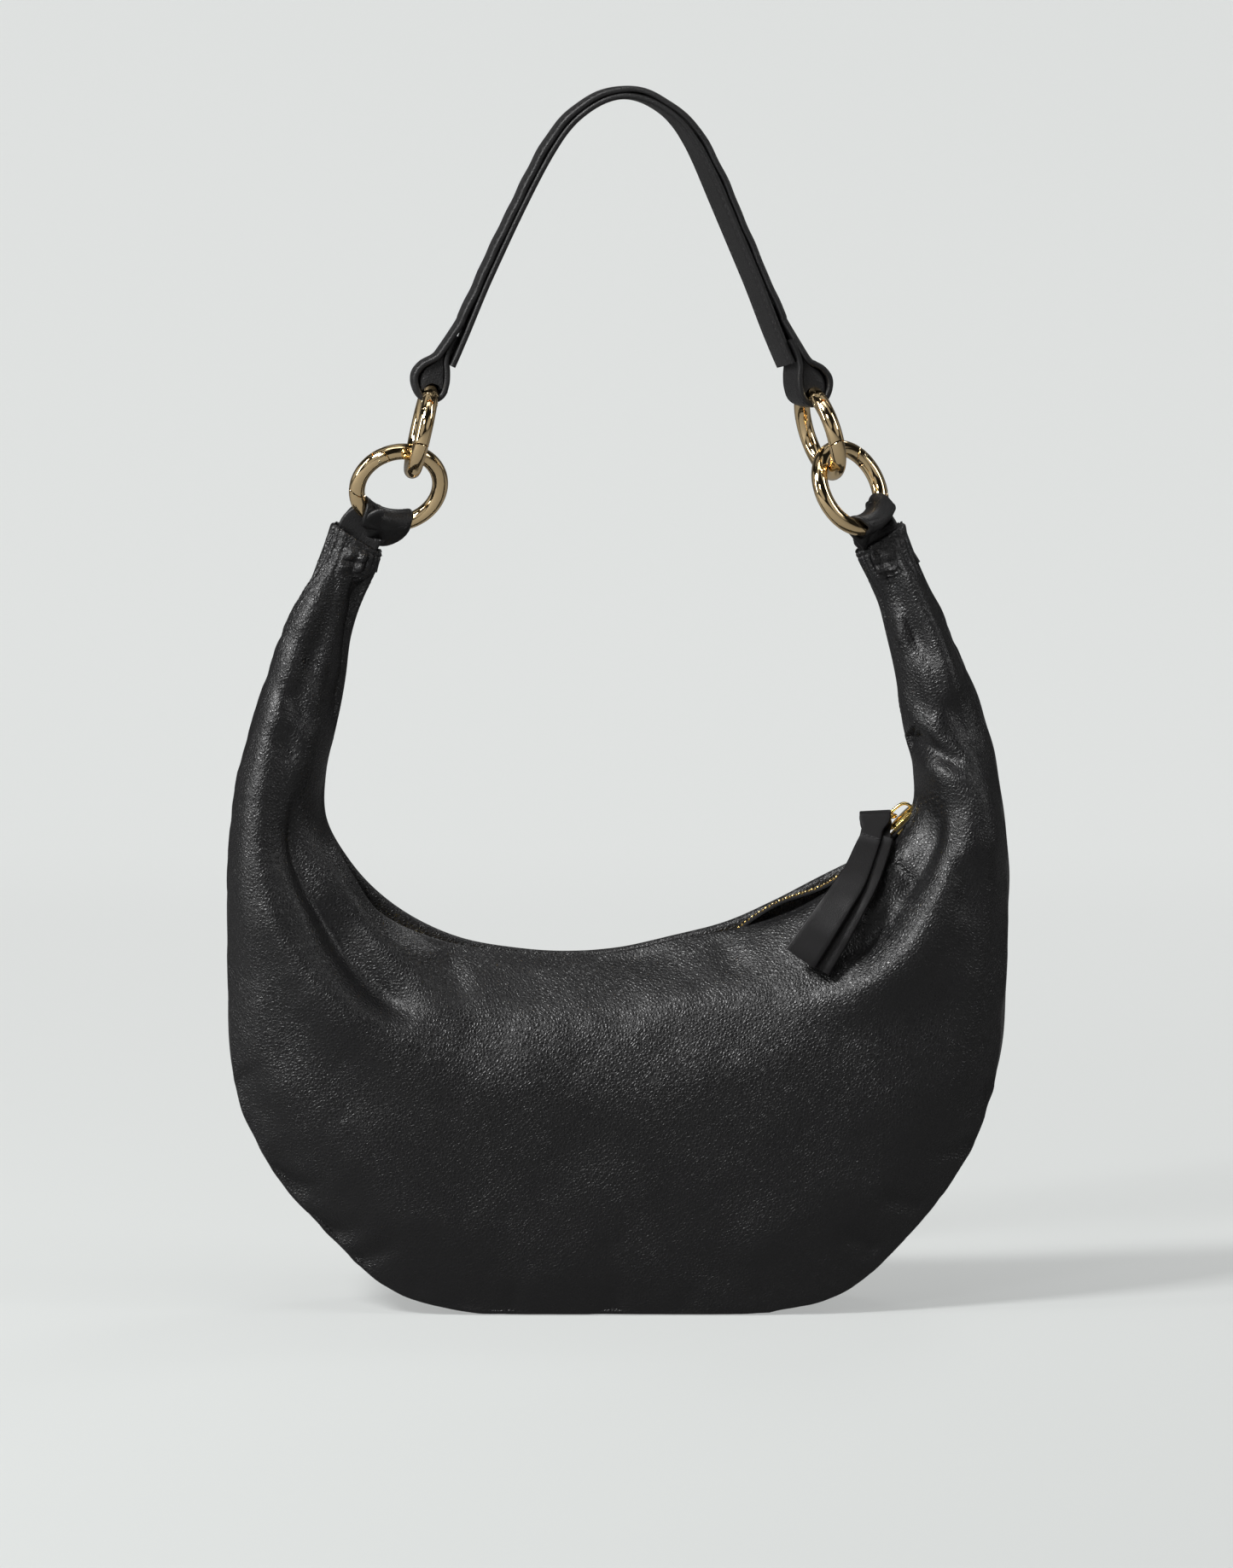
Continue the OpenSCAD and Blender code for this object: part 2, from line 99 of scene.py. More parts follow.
# ---------------------------------------------------------------- meshes
def quads(n, m, wrap_n=False, wrap_m=False):
    i = np.arange(n if wrap_n else n - 1)
    j = np.arange(m if wrap_m else m - 1)
    I, J = np.meshgrid(i, j, indexing="ij")
    I2, J2 = (I + 1) % n, (J + 1) % m
    return np.stack([I * m + J, I2 * m + J, I2 * m + J2, I * m + J2], -1).reshape(-1, 4)


def mesh_obj(name, V, faces, mat, angle=38, recalc=True):
    me = bpy.data.meshes.new(name)
    V = np.asarray(V, float) * MM
    me.from_pydata(V.tolist(), [], [list(map(int, f)) for f in faces])
    me.validate()
    if recalc:
        bm = bmesh.new()
        bm.from_mesh(me)
        bmesh.ops.recalc_face_normals(bm, faces=bm.faces)
        bm.to_mesh(me)
        bm.free()
    me.update()
    me.shade_smooth()
    if angle:
        me.set_sharp_from_angle(angle=math.radians(angle))
    o = bpy.data.objects.new(name, me)
    bpy.context.scene.collection.objects.link(o)
    me.materials.append(mat)
    return o


def closed_sheet(name, A, B, mat, angle=38):
    """Closed shell between two grids of points."""
    n, m = A.shape[:2]
    V = np.concatenate([A.reshape(-1, 3), B.reshape(-1, 3)])
    o = n * m
    F = list(quads(n, m)) + [f[::-1] + o for f in quads(n, m)]
    idx = lambda i, j: i * m + j
    for j in range(m - 1):
        F.append([idx(0, j), idx(0, j + 1), idx(0, j + 1) + o, idx(0, j) + o])
        F.append([idx(n - 1, j + 1), idx(n - 1, j), idx(n - 1, j) + o, idx(n - 1, j + 1) + o])
    for i in range(n - 1):
        F.append([idx(i + 1, 0), idx(i, 0), idx(i, 0) + o, idx(i + 1, 0) + o])
        F.append([idx(i, m - 1), idx(i + 1, m - 1), idx(i + 1, m - 1) + o, idx(i, m - 1) + o])
    return mesh_obj(name, V, F, mat, angle)


def sweep(name, C, X, Y, sec, mat, angle=38, caps=True, scale=None, bow=None):
    """Section points sec (k,2) swept along C with per-point axes X, Y."""
    C, X, Y = (np.asarray(a, float) for a in (C, X, Y))
    sec = np.asarray(sec, float)
    if sec.ndim == 2:
        sec = np.repeat(sec[None], len(C), 0)
    if scale is not None:
        sec = sec * np.asarray(scale)[:, None, None]
    P = C[:, None] + sec[..., :1] * X[:, None] + sec[..., 1:] * Y[:, None]
    if bow is not None:
        P = P + sec[..., :1] ** 2 * np.asarray(bow)[:, None]
    n, k = P.shape[:2]
    F = list(quads(n, k, wrap_m=True))
    V = P.reshape(-1, 3)
    if caps:
        V = np.concatenate([V, P[0].mean(0)[None], P[-1].mean(0)[None]])
        for j in range(k):
            F.append([n * k, (j + 1) % k, j])
            F.append([n * k + 1, (n - 1) * k + j, (n - 1) * k + (j + 1) % k])
    return mesh_obj(name, V, F, mat, angle)


def circle(r, k=16):
    a = np.linspace(0, 2 * math.pi, k, endpoint=False)
    return np.stack([r * np.cos(a), r * np.sin(a)], 1)


def path_frames(C, up):
    """Tangent, side and normal along C, with up a hint."""
    T = unit(np.gradient(C, axis=0))
    up = np.broadcast_to(np.asarray(up, float), C.shape)
    S = unit(np.cross(T, up))
    N = unit(np.cross(S, T))
    return T, S, N


def tube(name, C, r, mat, k=16, up=(0.13, 0.21, 0.97)):
    T, S, N = path_frames(np.asarray(C, float), up)
    return sweep(name, C, S, N, circle(r, k), mat)


def rounded(w, t, r, k=5):
    """Rounded rectangle section, w wide and t thick."""
    r = min(r, t / 2 - 0.01, w / 2 - 0.01)
    pts = []
    for cx, cy, a0 in ((w / 2 - r, t / 2 - r, 0), (-w / 2 + r, t / 2 - r, 90), (-w / 2 + r, -t / 2 + r, 180), (w / 2 - r, -t / 2 + r, 270)):
        for a in np.radians(a0 + np.linspace(0, 90, k)):
            pts.append([cx + r * math.cos(a), cy + r * math.sin(a)])
    return np.array(pts)


def wide(w, t, r, n=9, k=5):
    """Rounded rectangle with extra points over its faces, so that it can curve and crown."""
    R = rounded(w, t, r, k)
    top = np.linspace(R[k - 1][0], R[k][0], n + 2)[1:-1]
    bot = np.linspace(R[3 * k - 1][0], R[3 * k][0], n + 2)[1:-1]
    return np.concatenate([R[:k], np.stack([top, np.full(n, t / 2)], 1), R[k:3 * k],
                           np.stack([bot, np.full(n, -t / 2)], 1), R[3 * k:]])


def thread_row(name, P, N, T, mat, length=2.1, r=0.26, lift=0.02):
    """Stitches: short capsules lying along T at the points P, with N outward."""
    k, m = 8, 7
    ax = np.linspace(-1, 1, m)
    prof = np.sqrt(np.clip(1 - np.abs(ax) ** 6, 0.02, 1))
    sag = -0.22 * np.abs(ax) ** 3
    a = np.linspace(0, 2 * math.pi, k, endpoint=False)
    V, F = [], []
    base = [list(f) for f in quads(m, k, wrap_m=True)] + [list(range(k))[::-1], [(m - 1) * k + j for j in range(k)]]
    for p, n, t in zip(P, unit(N), unit(T)):
        s = np.cross(t, n)
        o = len(V) * m * k
        c = p + n * lift
        V.append((c + ax[:, None, None] * length / 2 * t + sag[:, None, None] * n
                  + prof[:, None, None] * r * (np.cos(a)[None, :, None] * s + np.sin(a)[None, :, None] * n)).reshape(-1, 3))
        F += [[i + o for i in f] for f in base]
    return mesh_obj(name, np.concatenate(V), F, mat, 60, recalc=False)


def join(name, objs):
    """One object from several, keeping their materials."""
    me = bpy.data.meshes.new(name)
    bm = bmesh.new()
    mats = []
    for o in objs:
        o0 = len(bm.faces)
        bm.from_mesh(o.data)
        bm.faces.ensure_lookup_table()
        m = o.data.materials[0]
        if m not in mats:
            mats.append(m)
        for f in bm.faces[o0:]:
            f.material_index = mats.index(m)
    bm.to_mesh(me)
    bm.free()
    for m in mats:
        me.materials.append(m)
    me.shade_smooth()
    me.set_sharp_from_angle(angle=math.radians(38))
    for o in objs:
        bpy.data.objects.remove(o)
    ob = bpy.data.objects.new(name, me)
    bpy.context.scene.collection.objects.link(ob)
    return ob


# ---------------------------------------------------------------- materials
def material(name, color, rough, metal=0.0, spec=0.5):
    m = bpy.data.materials.new(name)
    m.use_nodes = True
    b = m.node_tree.nodes["Principled BSDF"]
    b.inputs["Base Color"].default_value = (*color, 1)
    b.inputs["Roughness"].default_value = rough
    b.inputs["Metallic"].default_value = metal
    b.inputs["Specular IOR Level"].default_value = spec
    return m, m.node_tree, b


def coords(nt, stretch=None):
    c = nt.nodes.new("ShaderNodeTexCoord")
    out = c.outputs["Object"]
    if stretch:
        mp = nt.nodes.new("ShaderNodeMapping")
        mp.inputs["Scale"].default_value = stretch
        nt.links.new(out, mp.inputs["Vector"])
        out = mp.outputs["Vector"]
    return out


def node(nt, kind, **k):
    n = nt.nodes.new(kind)
    for a, v in k.items():
        if hasattr(n, a):
            setattr(n, a, v)
        else:
            n.inputs[a.replace("_", " ")].default_value = v
    return n


def math_node(nt, op, a, b=None, clamp=False):
    n = nt.nodes.new("ShaderNodeMath")
    n.operation = op
    n.use_clamp = clamp
    for i, v in enumerate((a, b)):
        if v is None:
            continue
        if isinstance(v, (int, float)):
            n.inputs[i].default_value = v
        else:
            nt.links.new(v, n.inputs[i])
    return n.outputs[0]


def leather(name, color, rough, cell, depth, fine=0.00004, spec=0.45, edge=0.0):
    m, nt, b = material(name, color, rough, 0, spec)
    v = coords(nt)
    warp = node(nt, "ShaderNodeTexNoise", Scale=420.0, Detail=2.0)
    nt.links.new(v, warp.inputs["Vector"])
    add = nt.nodes.new("ShaderNodeVectorMath")
    add.operation = "MULTIPLY_ADD"
    add.inputs[1].default_value = (0.0011,) * 3
    nt.links.new(warp.outputs["Color"], add.inputs[0])
    nt.links.new(v, add.inputs[2])
    vo = node(nt, "ShaderNodeTexVoronoi", Scale=1.0 / cell)
    vo.feature = "DISTANCE_TO_EDGE"
    nt.links.new(add.outputs[0], vo.inputs["Vector"])
    h = nt.nodes.new("ShaderNodeMapRange")
    h.interpolation_type = "SMOOTHSTEP"
    h.inputs["From Max"].default_value = 0.34
    nt.links.new(vo.outputs["Distance"], h.inputs["Value"])
    big = node(nt, "ShaderNodeTexNoise", Scale=38.0, Detail=3.0)
    nt.links.new(v, big.inputs["Vector"])
    amp = nt.nodes.new("ShaderNodeMapRange")
    amp.inputs["From Min"].default_value = 0.3
    amp.inputs["From Max"].default_value = 0.7
    amp.inputs["To Min"].default_value = 0.55
    amp.inputs["To Max"].default_value = 1.15
    nt.links.new(big.outputs["Fac"], amp.inputs["Value"])
    hh = math_node(nt, "MULTIPLY", h.outputs["Result"], amp.outputs["Result"])
    b1 = nt.nodes.new("ShaderNodeBump")
    b1.inputs["Distance"].default_value = depth
    b1.inputs["Strength"].default_value = 1.0
    nt.links.new(hh, b1.inputs["Height"])
    fn = node(nt, "ShaderNodeTexNoise", Scale=2600.0, Detail=2.0)
    nt.links.new(v, fn.inputs["Vector"])
    b2 = nt.nodes.new("ShaderNodeBump")
    b2.inputs["Distance"].default_value = fine
    nt.links.new(fn.outputs["Fac"], b2.inputs["Height"])
    nt.links.new(b1.outputs["Normal"], b2.inputs["Normal"])
    nt.links.new(b2.outputs["Normal"], b.inputs["Normal"])
    r = nt.nodes.new("ShaderNodeMapRange")
    r.inputs["From Min"].default_value = 0.3
    r.inputs["From Max"].default_value = 0.7
    r.inputs["To Min"].default_value = rough - 0.035
    r.inputs["To Max"].default_value = rough + 0.045
    nt.links.new(big.outputs["Fac"], r.inputs["Value"])
    crease = math_node(nt, "MULTIPLY", math_node(nt, "SUBTRACT", 1.0, h.outputs["Result"]), 0.12)
    nt.links.new(math_node(nt, "ADD", r.outputs["Result"], crease), b.inputs["Roughness"])
    return m


def weave(name, color, scale, depth, rough=0.85):
    m, nt, b = material(name, color, rough, 0, 0.25)
    v = coords(nt)
    w = node(nt, "ShaderNodeTexWave", Scale=scale, Distortion=0.4)
    w.bands_direction = "X"
    w2 = node(nt, "ShaderNodeTexWave", Scale=scale, Distortion=0.4)
    w2.bands_direction = "Z"
    nt.links.new(v, w.inputs["Vector"])
    nt.links.new(v, w2.inputs["Vector"])
    bb = nt.nodes.new("ShaderNodeBump")
    bb.inputs["Distance"].default_value = depth
    nt.links.new(math_node(nt, "MULTIPLY", w.outputs["Fac"], w2.outputs["Fac"]), bb.inputs["Height"])
    nt.links.new(bb.outputs["Normal"], b.inputs["Normal"])
    return m


def metal(name, color, rough, depth=0.00001):
    m, nt, b = material(name, color, rough, 1.0, 0.5)
    v = coords(nt)
    n = node(nt, "ShaderNodeTexNoise", Scale=260.0, Detail=3.0)
    nt.links.new(v, n.inputs["Vector"])
    r = nt.nodes.new("ShaderNodeMapRange")
    r.inputs["To Min"].default_value = rough * 0.7
    r.inputs["To Max"].default_value = rough * 1.4
    nt.links.new(n.outputs["Fac"], r.inputs["Value"])
    nt.links.new(r.outputs["Result"], b.inputs["Roughness"])
    bb = nt.nodes.new("ShaderNodeBump")
    bb.inputs["Distance"].default_value = depth
    nt.links.new(n.outputs["Fac"], bb.inputs["Height"])
    nt.links.new(bb.outputs["Normal"], b.inputs["Normal"])
    return m


M_LEATHER = leather("pebbled_leather", (0.0042, 0.0041, 0.0045), 0.3, 0.0012, 0.00013, fine=0.00002, spec=0.46)
M_STRAP = leather("strap_leather", (0.0065, 0.0063, 0.0066), 0.38, 0.0009, 0.00006)
M_SMOOTH = leather("pull_leather", (0.005, 0.0046, 0.005), 0.38, 0.0006, 0.000018, spec=0.25)
M_EDGE = material("painted_edge", (0.014, 0.013, 0.0135), 0.5)[0]
M_LINING = weave("lining_cloth", (0.014, 0.014, 0.015), 900, 0.00006)
M_TAPE = weave("zip_tape_cloth", (0.012, 0.012, 0.013), 700, 0.0001)
M_CORE = weave("core_cloth", (0.02, 0.02, 0.02), 600, 0.0001)
M_THREAD = material("thread", (0.013, 0.0125, 0.013), 0.55)[0]
M_RING = metal("ring_gold", (0.94, 0.71, 0.40), 0.06)
M_ZIP = metal("zip_gold", (0.93, 0.68, 0.25), 0.16)
M_STEEL = metal("pin_steel_gold", (0.72, 0.60, 0.38), 0.22)

for nm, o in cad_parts.items():
    if nm.endswith("_spring") or nm.endswith("_pin"):
        mt, sl = M_STEEL, "pin_steel"
    elif "ring" in nm and "tab" not in nm or "gate" in nm:
        mt, sl = M_RING, "ring_metal"
    elif nm in ("zip_teeth_front", "zip_teeth_back", "zip_end_stops", "zip_slider", "zip_link"):
        mt, sl = M_ZIP, "zip_metal"
    elif nm.startswith("zip_tape"):
        mt, sl = M_TAPE, "zip_tape"
    elif nm.startswith("lining") or nm == "slip_pocket":
        mt, sl = M_LINING, "lining"
    elif nm == "strap_core":
        mt, sl = M_CORE, "strap_core"
    elif nm.startswith("pull"):
        mt, sl = M_SMOOTH, "smooth_leather"
    else:
        mt, sl = M_LEATHER, "leather"
    o.data.materials.clear()
    o.data.materials.append(mt)

# ---------------------------------------------------------------- the body's shape
OUTL = [[-106.5, 293.5], [-113, 276.5], [-120.8, 261], [-127.7, 245], [-134.3, 226.5], [-139.6, 207], [-143.6, 182],
        [-145.8, 155], [-145.9, 122], [-142.6, 82], [-128.3, 50], [-106.5, 25], [-82, 7.4], [-46, 0], [0, 0]]
OUTR = [[106.5, 293.5], [112.2, 276.5], [119.8, 261], [126.4, 245], [134, 226.5], [140.2, 207], [143.8, 182],
        [145.2, 155], [144.4, 122], [139.5, 82], [126, 50], [106, 25], [81, 6.6], [46, 0]]
OUT = np.array(OUTL + OUTR[::-1], float)
IN = np.array([[-89, 282.5], [-91, 276], [-96.5, 266], [-100.6, 252], [-102.4, 237], [-105.6, 219], [-109.6, 201],
               [-109.8, 184], [-103, 169.5], [-92.5, 156.5], [-78, 145.6], [-60, 137.5], [-40, 133.6], [-20, 132.2],
               [0, 133.6], [20, 138], [40, 143.2], [58, 151.2], [75, 160], [90, 167.5], [103, 175], [110, 187],
               [110.6, 201], [106.6, 218], [104, 236], [100.8, 251], [97.5, 265], [92.5, 275], [89, 282.5]], float)
EE = np.array([1.6, 1.5, 1.5, 1.5, 1.5, 1.5, 1.5, 2.6, 6, 7.4, 8, 8, 8, 8, 8, 8, 8, 8, 8, 8, 7.4, 5.2, 1.6, 1.5, 1.5, 1.5, 1.5, 1.5, 1.6])
DL = [5.4, 7.4, 9.8, 12.2, 15, 18, 21.5, 25, 29, 32.5, 35, 36.8, 37.4, 37.6, 37.6]
GL = [3.6, 4, 5, 6, 7.5, 9.5, 12, 15, 18, 21, 24, 27, 29, 30, 30]
DD = np.array(DL + DL[:14][::-1])
GG = np.array(GL + GL[:14][::-1])
PROF = np.array([[0, 1, 0, 0], [0.035, 0.72, 0.22, 0], [0.1, 0.35, 0.5, 0], [0.2, 0.1, 0.78, 0], [0.35, 0, 0.97, 0],
                 [0.55, 0, 1, 0], [0.75, 0, 0.93, 0.07], [0.88, 0, 0.55, 0.45], [0.96, 0, 0.2, 0.8], [1, 0, 0, 1]], float)


def rim_shift(u):
    """How far the front edge lies below the back edge, in mm, along the way down the panel."""
    return 4.0 * bump(u, 7.6, 9.3, 12.0) + 5.2 * bump(u, 14.9, 17.6, 20.2)


def trim(b):
    """The sewn outline sits slightly inside the frame's at the left arm and the lower corners."""
    x, z = b[..., 0], b[..., 1]
    left = 1.9 * bump(z, 185, 238, 290) * (x < 0)
    low = bump(z, 2, 30, 75) * np.where(x < 0, 2.0, 1.2)
    return np.stack([x - np.sign(x) * (left + low), z + 0.6 * low], -1)


def panel_base(U, S, g):
    a, b = cr(IN, U), trim(cr(OUT, U))
    d = unit(b - a)
    if g > 0:
        a = a + d * rim_shift(U)[..., None]
    w = cr(PROF, S * 9)
    p = a + (b - a) * w[..., :1]
    y = w[..., 1] * cr(EE, U) + w[..., 2] * cr(DD, U) + w[..., 3] * cr(GG, U)
    return np.stack([p[..., 0], -g * y, np.maximum(p[..., 1], 0)], -1)


# Folds, as strokes in the front view. One view unit is 0.32 mm, x to the right from -725, down from 1537.
def view_xy(P):
    return 725 + P[..., 0] / 0.32, 1537 - (0.996 * P[..., 2] + 2.6 + 0.087 * P[..., 1]) / 0.32


def stroke(px, py, pts, wl, wr, amp, t0=0.25, t1=0.25):
    """Height of a fold along pts. wl and wr are its widths to the left and right of the way it runs."""
    Q = resample(np.array(pts, float), 6.0)
    n = len(Q)
    T = unit(np.gradient(Q, axis=0))
    shape = px.shape
    X = np.stack([px.ravel(), py.ravel()], 1)
    lo, hi = Q.min(0) - 3.2 * max(wl, wr), Q.max(0) + 3.2 * max(wl, wr)
    sel = np.where(((X > lo) & (X < hi)).all(1))[0]
    out = np.zeros(len(X))
    if not len(sel):
        return out.reshape(shape)
    D = X[sel][:, None] - Q[None]
    k = (D ** 2).sum(-1).argmin(1)
    d = D[np.arange(len(sel)), k]
    t = T[k]
    side = d[:, 0] * t[:, 1] - d[:, 1] * t[:, 0]
    along = (d * t).sum(1)
    w = np.where(side > 0, wl, wr)
    end = np.where((k == 0) & (along < 0) | (k == n - 1) & (along > 0), np.abs(along), 0)
    s = np.clip((k + 0.5) / n, 0, 1)
    tap = (smooth(s, 0, t0) if t0 else 1) * (1 - smooth(s, 1 - t1, 1) if t1 else 1)
    out[sel] = amp * np.exp(-0.5 * (side / w) ** 2) * tap * np.exp(-0.5 * (end / (0.6 * w)) ** 2)
    return out.reshape(shape)


# pts, width left of its way, width right of its way, height in mm, taper in, taper out
FOLDS = [
    # big ridge that comes down the left arm and turns along the shoulder
    ([(392, 640), (372, 700), (348, 760), (326, 830), (309, 900), (304, 960), (306, 1010), (317, 1060), (338, 1105), (370, 1148), (410, 1184), (455, 1208), (510, 1222), (570, 1222)], 15, 26, 3.6, 0.12, 0.3),
    ([(365, 890), (352, 940), (350, 985), (360, 1020), (380, 1058), (400, 1092), (425, 1130), (460, 1166), (500, 1192)], 13, 13, -4.6, 0.3, 0.18),
    ([(388, 985), (400, 1030), (420, 1072), (452, 1108), (496, 1134), (530, 1140)], 15, 12, 2.6, 0.3, 0.35),
    ([(520, 1108), (532, 1140), (540, 1180)], 12, 16, -1.5, 0.3, 0.5),
    # left arm
    ([(430, 672), (418, 730), (402, 800), (388, 860), (378, 905)], 9, 12, -2.0, 0.1, 0.4),
    ([(408, 660), (392, 712), (368, 775), (352, 830)], 8, 8, -1.6, 0.2, 0.4),
    ([(440, 680), (428, 745), (414, 810), (402, 870), (394, 920)], 8, 8, 1.3, 0.2, 0.4),
    ([(352, 735), (364, 770), (380, 800), (392, 822)], 7, 9, -1.5, 0.3, 0.4),
    ([(338, 800), (352, 832), (372, 858)], 8, 8, -1.2, 0.3, 0.4),
    ([(322, 850), (340, 880), (356, 900)], 8, 10, -0.9, 0.3, 0.4),
    ([(414, 660), (420, 690), (421, 720)], 4, 4, -1.0, 0.0, 0.5),
    ([(402, 655), (400, 690), (390, 725)], 4, 4, 0.8, 0.0, 0.5),
    # shoulder crest across the front
    ([(560, 1196), (660, 1184), (780, 1174), (900, 1166), (990, 1152)], 22, 34, 1.5, 0.3, 0.3),
    ([(640, 1120), (740, 1122), (830, 1114)], 10, 12, -0.7, 0.4, 0.4),
    ([(840, 1092), (852, 1120), (850, 1150)], 11, 13, -0.9, 0.3, 0.5),
    ([(700, 1140), (730, 1170), (745, 1210)], 22, 26, -0.7, 0.3, 0.5),
    # right arm
    ([(1040, 668), (1052, 712), (1072, 752), (1094, 782)], 9, 9, -2.0, 0.15, 0.4),
    ([(1052, 660), (1072, 700), (1094, 745), (1110, 790), (1122, 840)], 8, 9, 1.9, 0.1, 0.3),
    ([(1054, 740), (1062, 790), (1078, 826), (1102, 846)], 9, 9, -1.8, 0.3, 0.35),
    ([(1048, 700), (1056, 750), (1060, 800), (1062, 850)], 7, 7, 1.2, 0.2, 0.3),
    ([(1060, 858), (1078, 872), (1104, 886), (1134, 908)], 7, 8, -2.7, 0.15, 0.45),
    ([(1066, 880), (1092, 892), (1116, 912), (1132, 945), (1132, 985), (1118, 1020), (1100, 1052), (1080, 1090), (1050, 1128), (1010, 1156), (960, 1172), (900, 1180)], 22, 14, 3.2, 0.15, 0.3),
    ([(1080, 925), (1090, 955), (1086, 985), (1072, 1015), (1052, 1046), (1030, 1078), (1004, 1106), (975, 1128)], 12, 11, -3.7, 0.25, 0.2),
    ([(1044, 1008), (1058, 1028), (1064, 1052)], 6, 7, -1.4, 0.2, 0.5),
    ([(1000, 1066), (1030, 1062), (1062, 1046)], 9, 9, 1.2, 0.3, 0.4),
    ([(1110, 1000), (1126, 1040), (1124, 1085)], 11, 12, -1.5, 0.3, 0.4),
    ([(1140, 900), (1154, 960), (1160, 1040), (1154, 1110)], 12, 12, 1.2, 0.3, 0.4),
    ([(1108, 812), (1128, 850), (1146, 890)], 8, 8, -1.2, 0.3, 0.4),
    # lower corners and the pinches along the bottom seam
    ([(284, 1250), (306, 1290), (340, 1330)], 12, 14, -1.2, 0.1, 0.5),
    ([(322, 1372), (352, 1388), (392, 1396)], 9, 10, -1.4, 0.0, 0.6),
    ([(372, 1436), (404, 1440), (440, 1434)], 8, 9, -1.2, 0.0, 0.6),
    ([(414, 1474), (444, 1466), (478, 1450)], 8, 8, -1.1, 0.0, 0.6),
    ([(598, 1528), (604, 1512), (606, 1490)], 6, 6, -0.6, 0.0, 0.6),
    ([(722, 1532), (720, 1512), (714, 1488)], 6, 7, -0.6, 0.0, 0.6),
    ([(800, 1532), (808, 1512), (818, 1494)], 6, 6, -0.5, 0.0, 0.6),
    ([(900, 1528), (890, 1508), (884, 1490)], 6, 6, -0.6, 0.0, 0.6),
    ([(1160, 1270), (1134, 1290), (1104, 1300)], 11, 11, -1.3, 0.0, 0.6),
    ([(1134, 1338), (1108, 1346), (1074, 1350)], 9, 10, -1.5, 0.0, 0.6),
    ([(1072, 1410), (1046, 1404), (1016, 1402)], 9, 9, -1.4, 0.0, 0.6),
    ([(1020, 1462), (1000, 1448), (976, 1440)], 8, 8, -1.2, 0.0, 0.6),
    ([(530, 1330), (640, 1380), (780, 1400), (900, 1380)], 70, 70, -1.0, 0.3, 0.3),
    ([(430, 1250), (560, 1300), (700, 1320), (860, 1310), (1000, 1260)], 50, 60, 0.8, 0.3, 0.3),
]
BACK_FOLDS = FOLDS[:]


def noise_field(x, z, seed, wave, n=26):
    r = np.random.default_rng(seed)
    out = np.zeros_like(x)
    for _ in range(n):
        a = r.uniform(0, 2 * math.pi)
        k = 2 * math.pi / (wave * r.uniform(0.6, 1.8))
        out += np.cos(k * (x * math.cos(a) + z * math.sin(a)) + r.uniform(0, 6.28)) / n ** 0.5
    return out


def folds(P, g):
    if g > 0:
        px, py = view_xy(P)
        h = 1.2 * sum(stroke(px, py, *f) for f in FOLDS)
    else:
        Q = P * np.array([-1, -1, 1])
        px, py = view_xy(Q)
        h = 0.62 * sum(stroke(px, py, *f) for f in BACK_FOLDS)
    h = h + 0.42 * noise_field(P[..., 0], P[..., 2], 5 if g > 0 else 9, 46) + 0.10 * noise_field(P[..., 0], P[..., 2], 6 if g > 0 else 10, 15)
    return h


def panel(U, S, g):
    """Points of the sculpted panel on the grid U x S and their outward normals."""
    UU, SS = np.meshgrid(U, S, indexing="ij")
    P = panel_base(UU, SS, g)
    N = grid_normals(P) * (-g if True else 1)
    if (N[len(U) // 2, len(S) // 2] * np.array([0, -g, 0])).sum() < 0:
        N = -N
    h = folds(P, g)
    mask = smooth(SS, 0, 0.07) * (1 - 0.75 * smooth(SS, 0.93, 1))
    P = P + N * (h * mask)[..., None]
    # gathers at the gusset seam and under the mouth of each arm
    pk = np.sin(UU * 9.1 + 1.3 * np.sin(UU * 2.3)) * np.sin(UU * 3.7 + 0.8 * g)
    P = P + N * (-0.55 * np.clip(pk, -0.2, 1) * smooth(SS, 0.86, 0.985) * (1 - smooth(np.abs(UU - 14), 12, 13)))[..., None]
    e = np.minimum(UU, 28 - UU)
    gt = np.cos(SS * 46 + 1.1 * g) * np.exp(-((e - 0.62) / 0.5) ** 2) * smooth(SS, 0.05, 0.15) * (1 - smooth(SS, 0.85, 0.95))
    P = P + N * (0.28 * gt)[..., None]
    if g > 0:
        # two rows of puffs where the tab is sewn through below the edge
        aa, bb = (e - 0.36) / 0.34, (SS - 0.33) / 0.145
        cell = np.clip(np.abs(np.sin(math.pi * np.clip(aa, 0, 2))) * np.abs(np.sin(math.pi * np.clip(bb, 0, 2))), 0, 1) ** 0.4
        P = P + N * (0.85 * cell - 0.35 * ((aa > -0.06) & (aa < 2.06) & (bb > -0.1) & (bb < 2.1)) * (1 - cell))[..., None]
    # the stitched turned edge at the arm's mouth
    P = P - N * (0.32 * np.exp(-((e - 0.27) / 0.045) ** 2))[..., None]
    P[..., 2] = np.maximum(P[..., 2], 0.02)
    lim = 37.95
    y = P[..., 1]
    P[..., 1] = np.where(np.abs(y) > lim - 1.5, np.sign(y) * (lim - 1.5 + 1.5 * np.tanh((np.abs(y) - lim + 1.5) / 1.5)), y)
    N = grid_normals(P)
    if (N[len(U) // 2, len(S) // 2] * np.array([0, -g, 0])).sum() < 0:
        N = -N
    return P, N


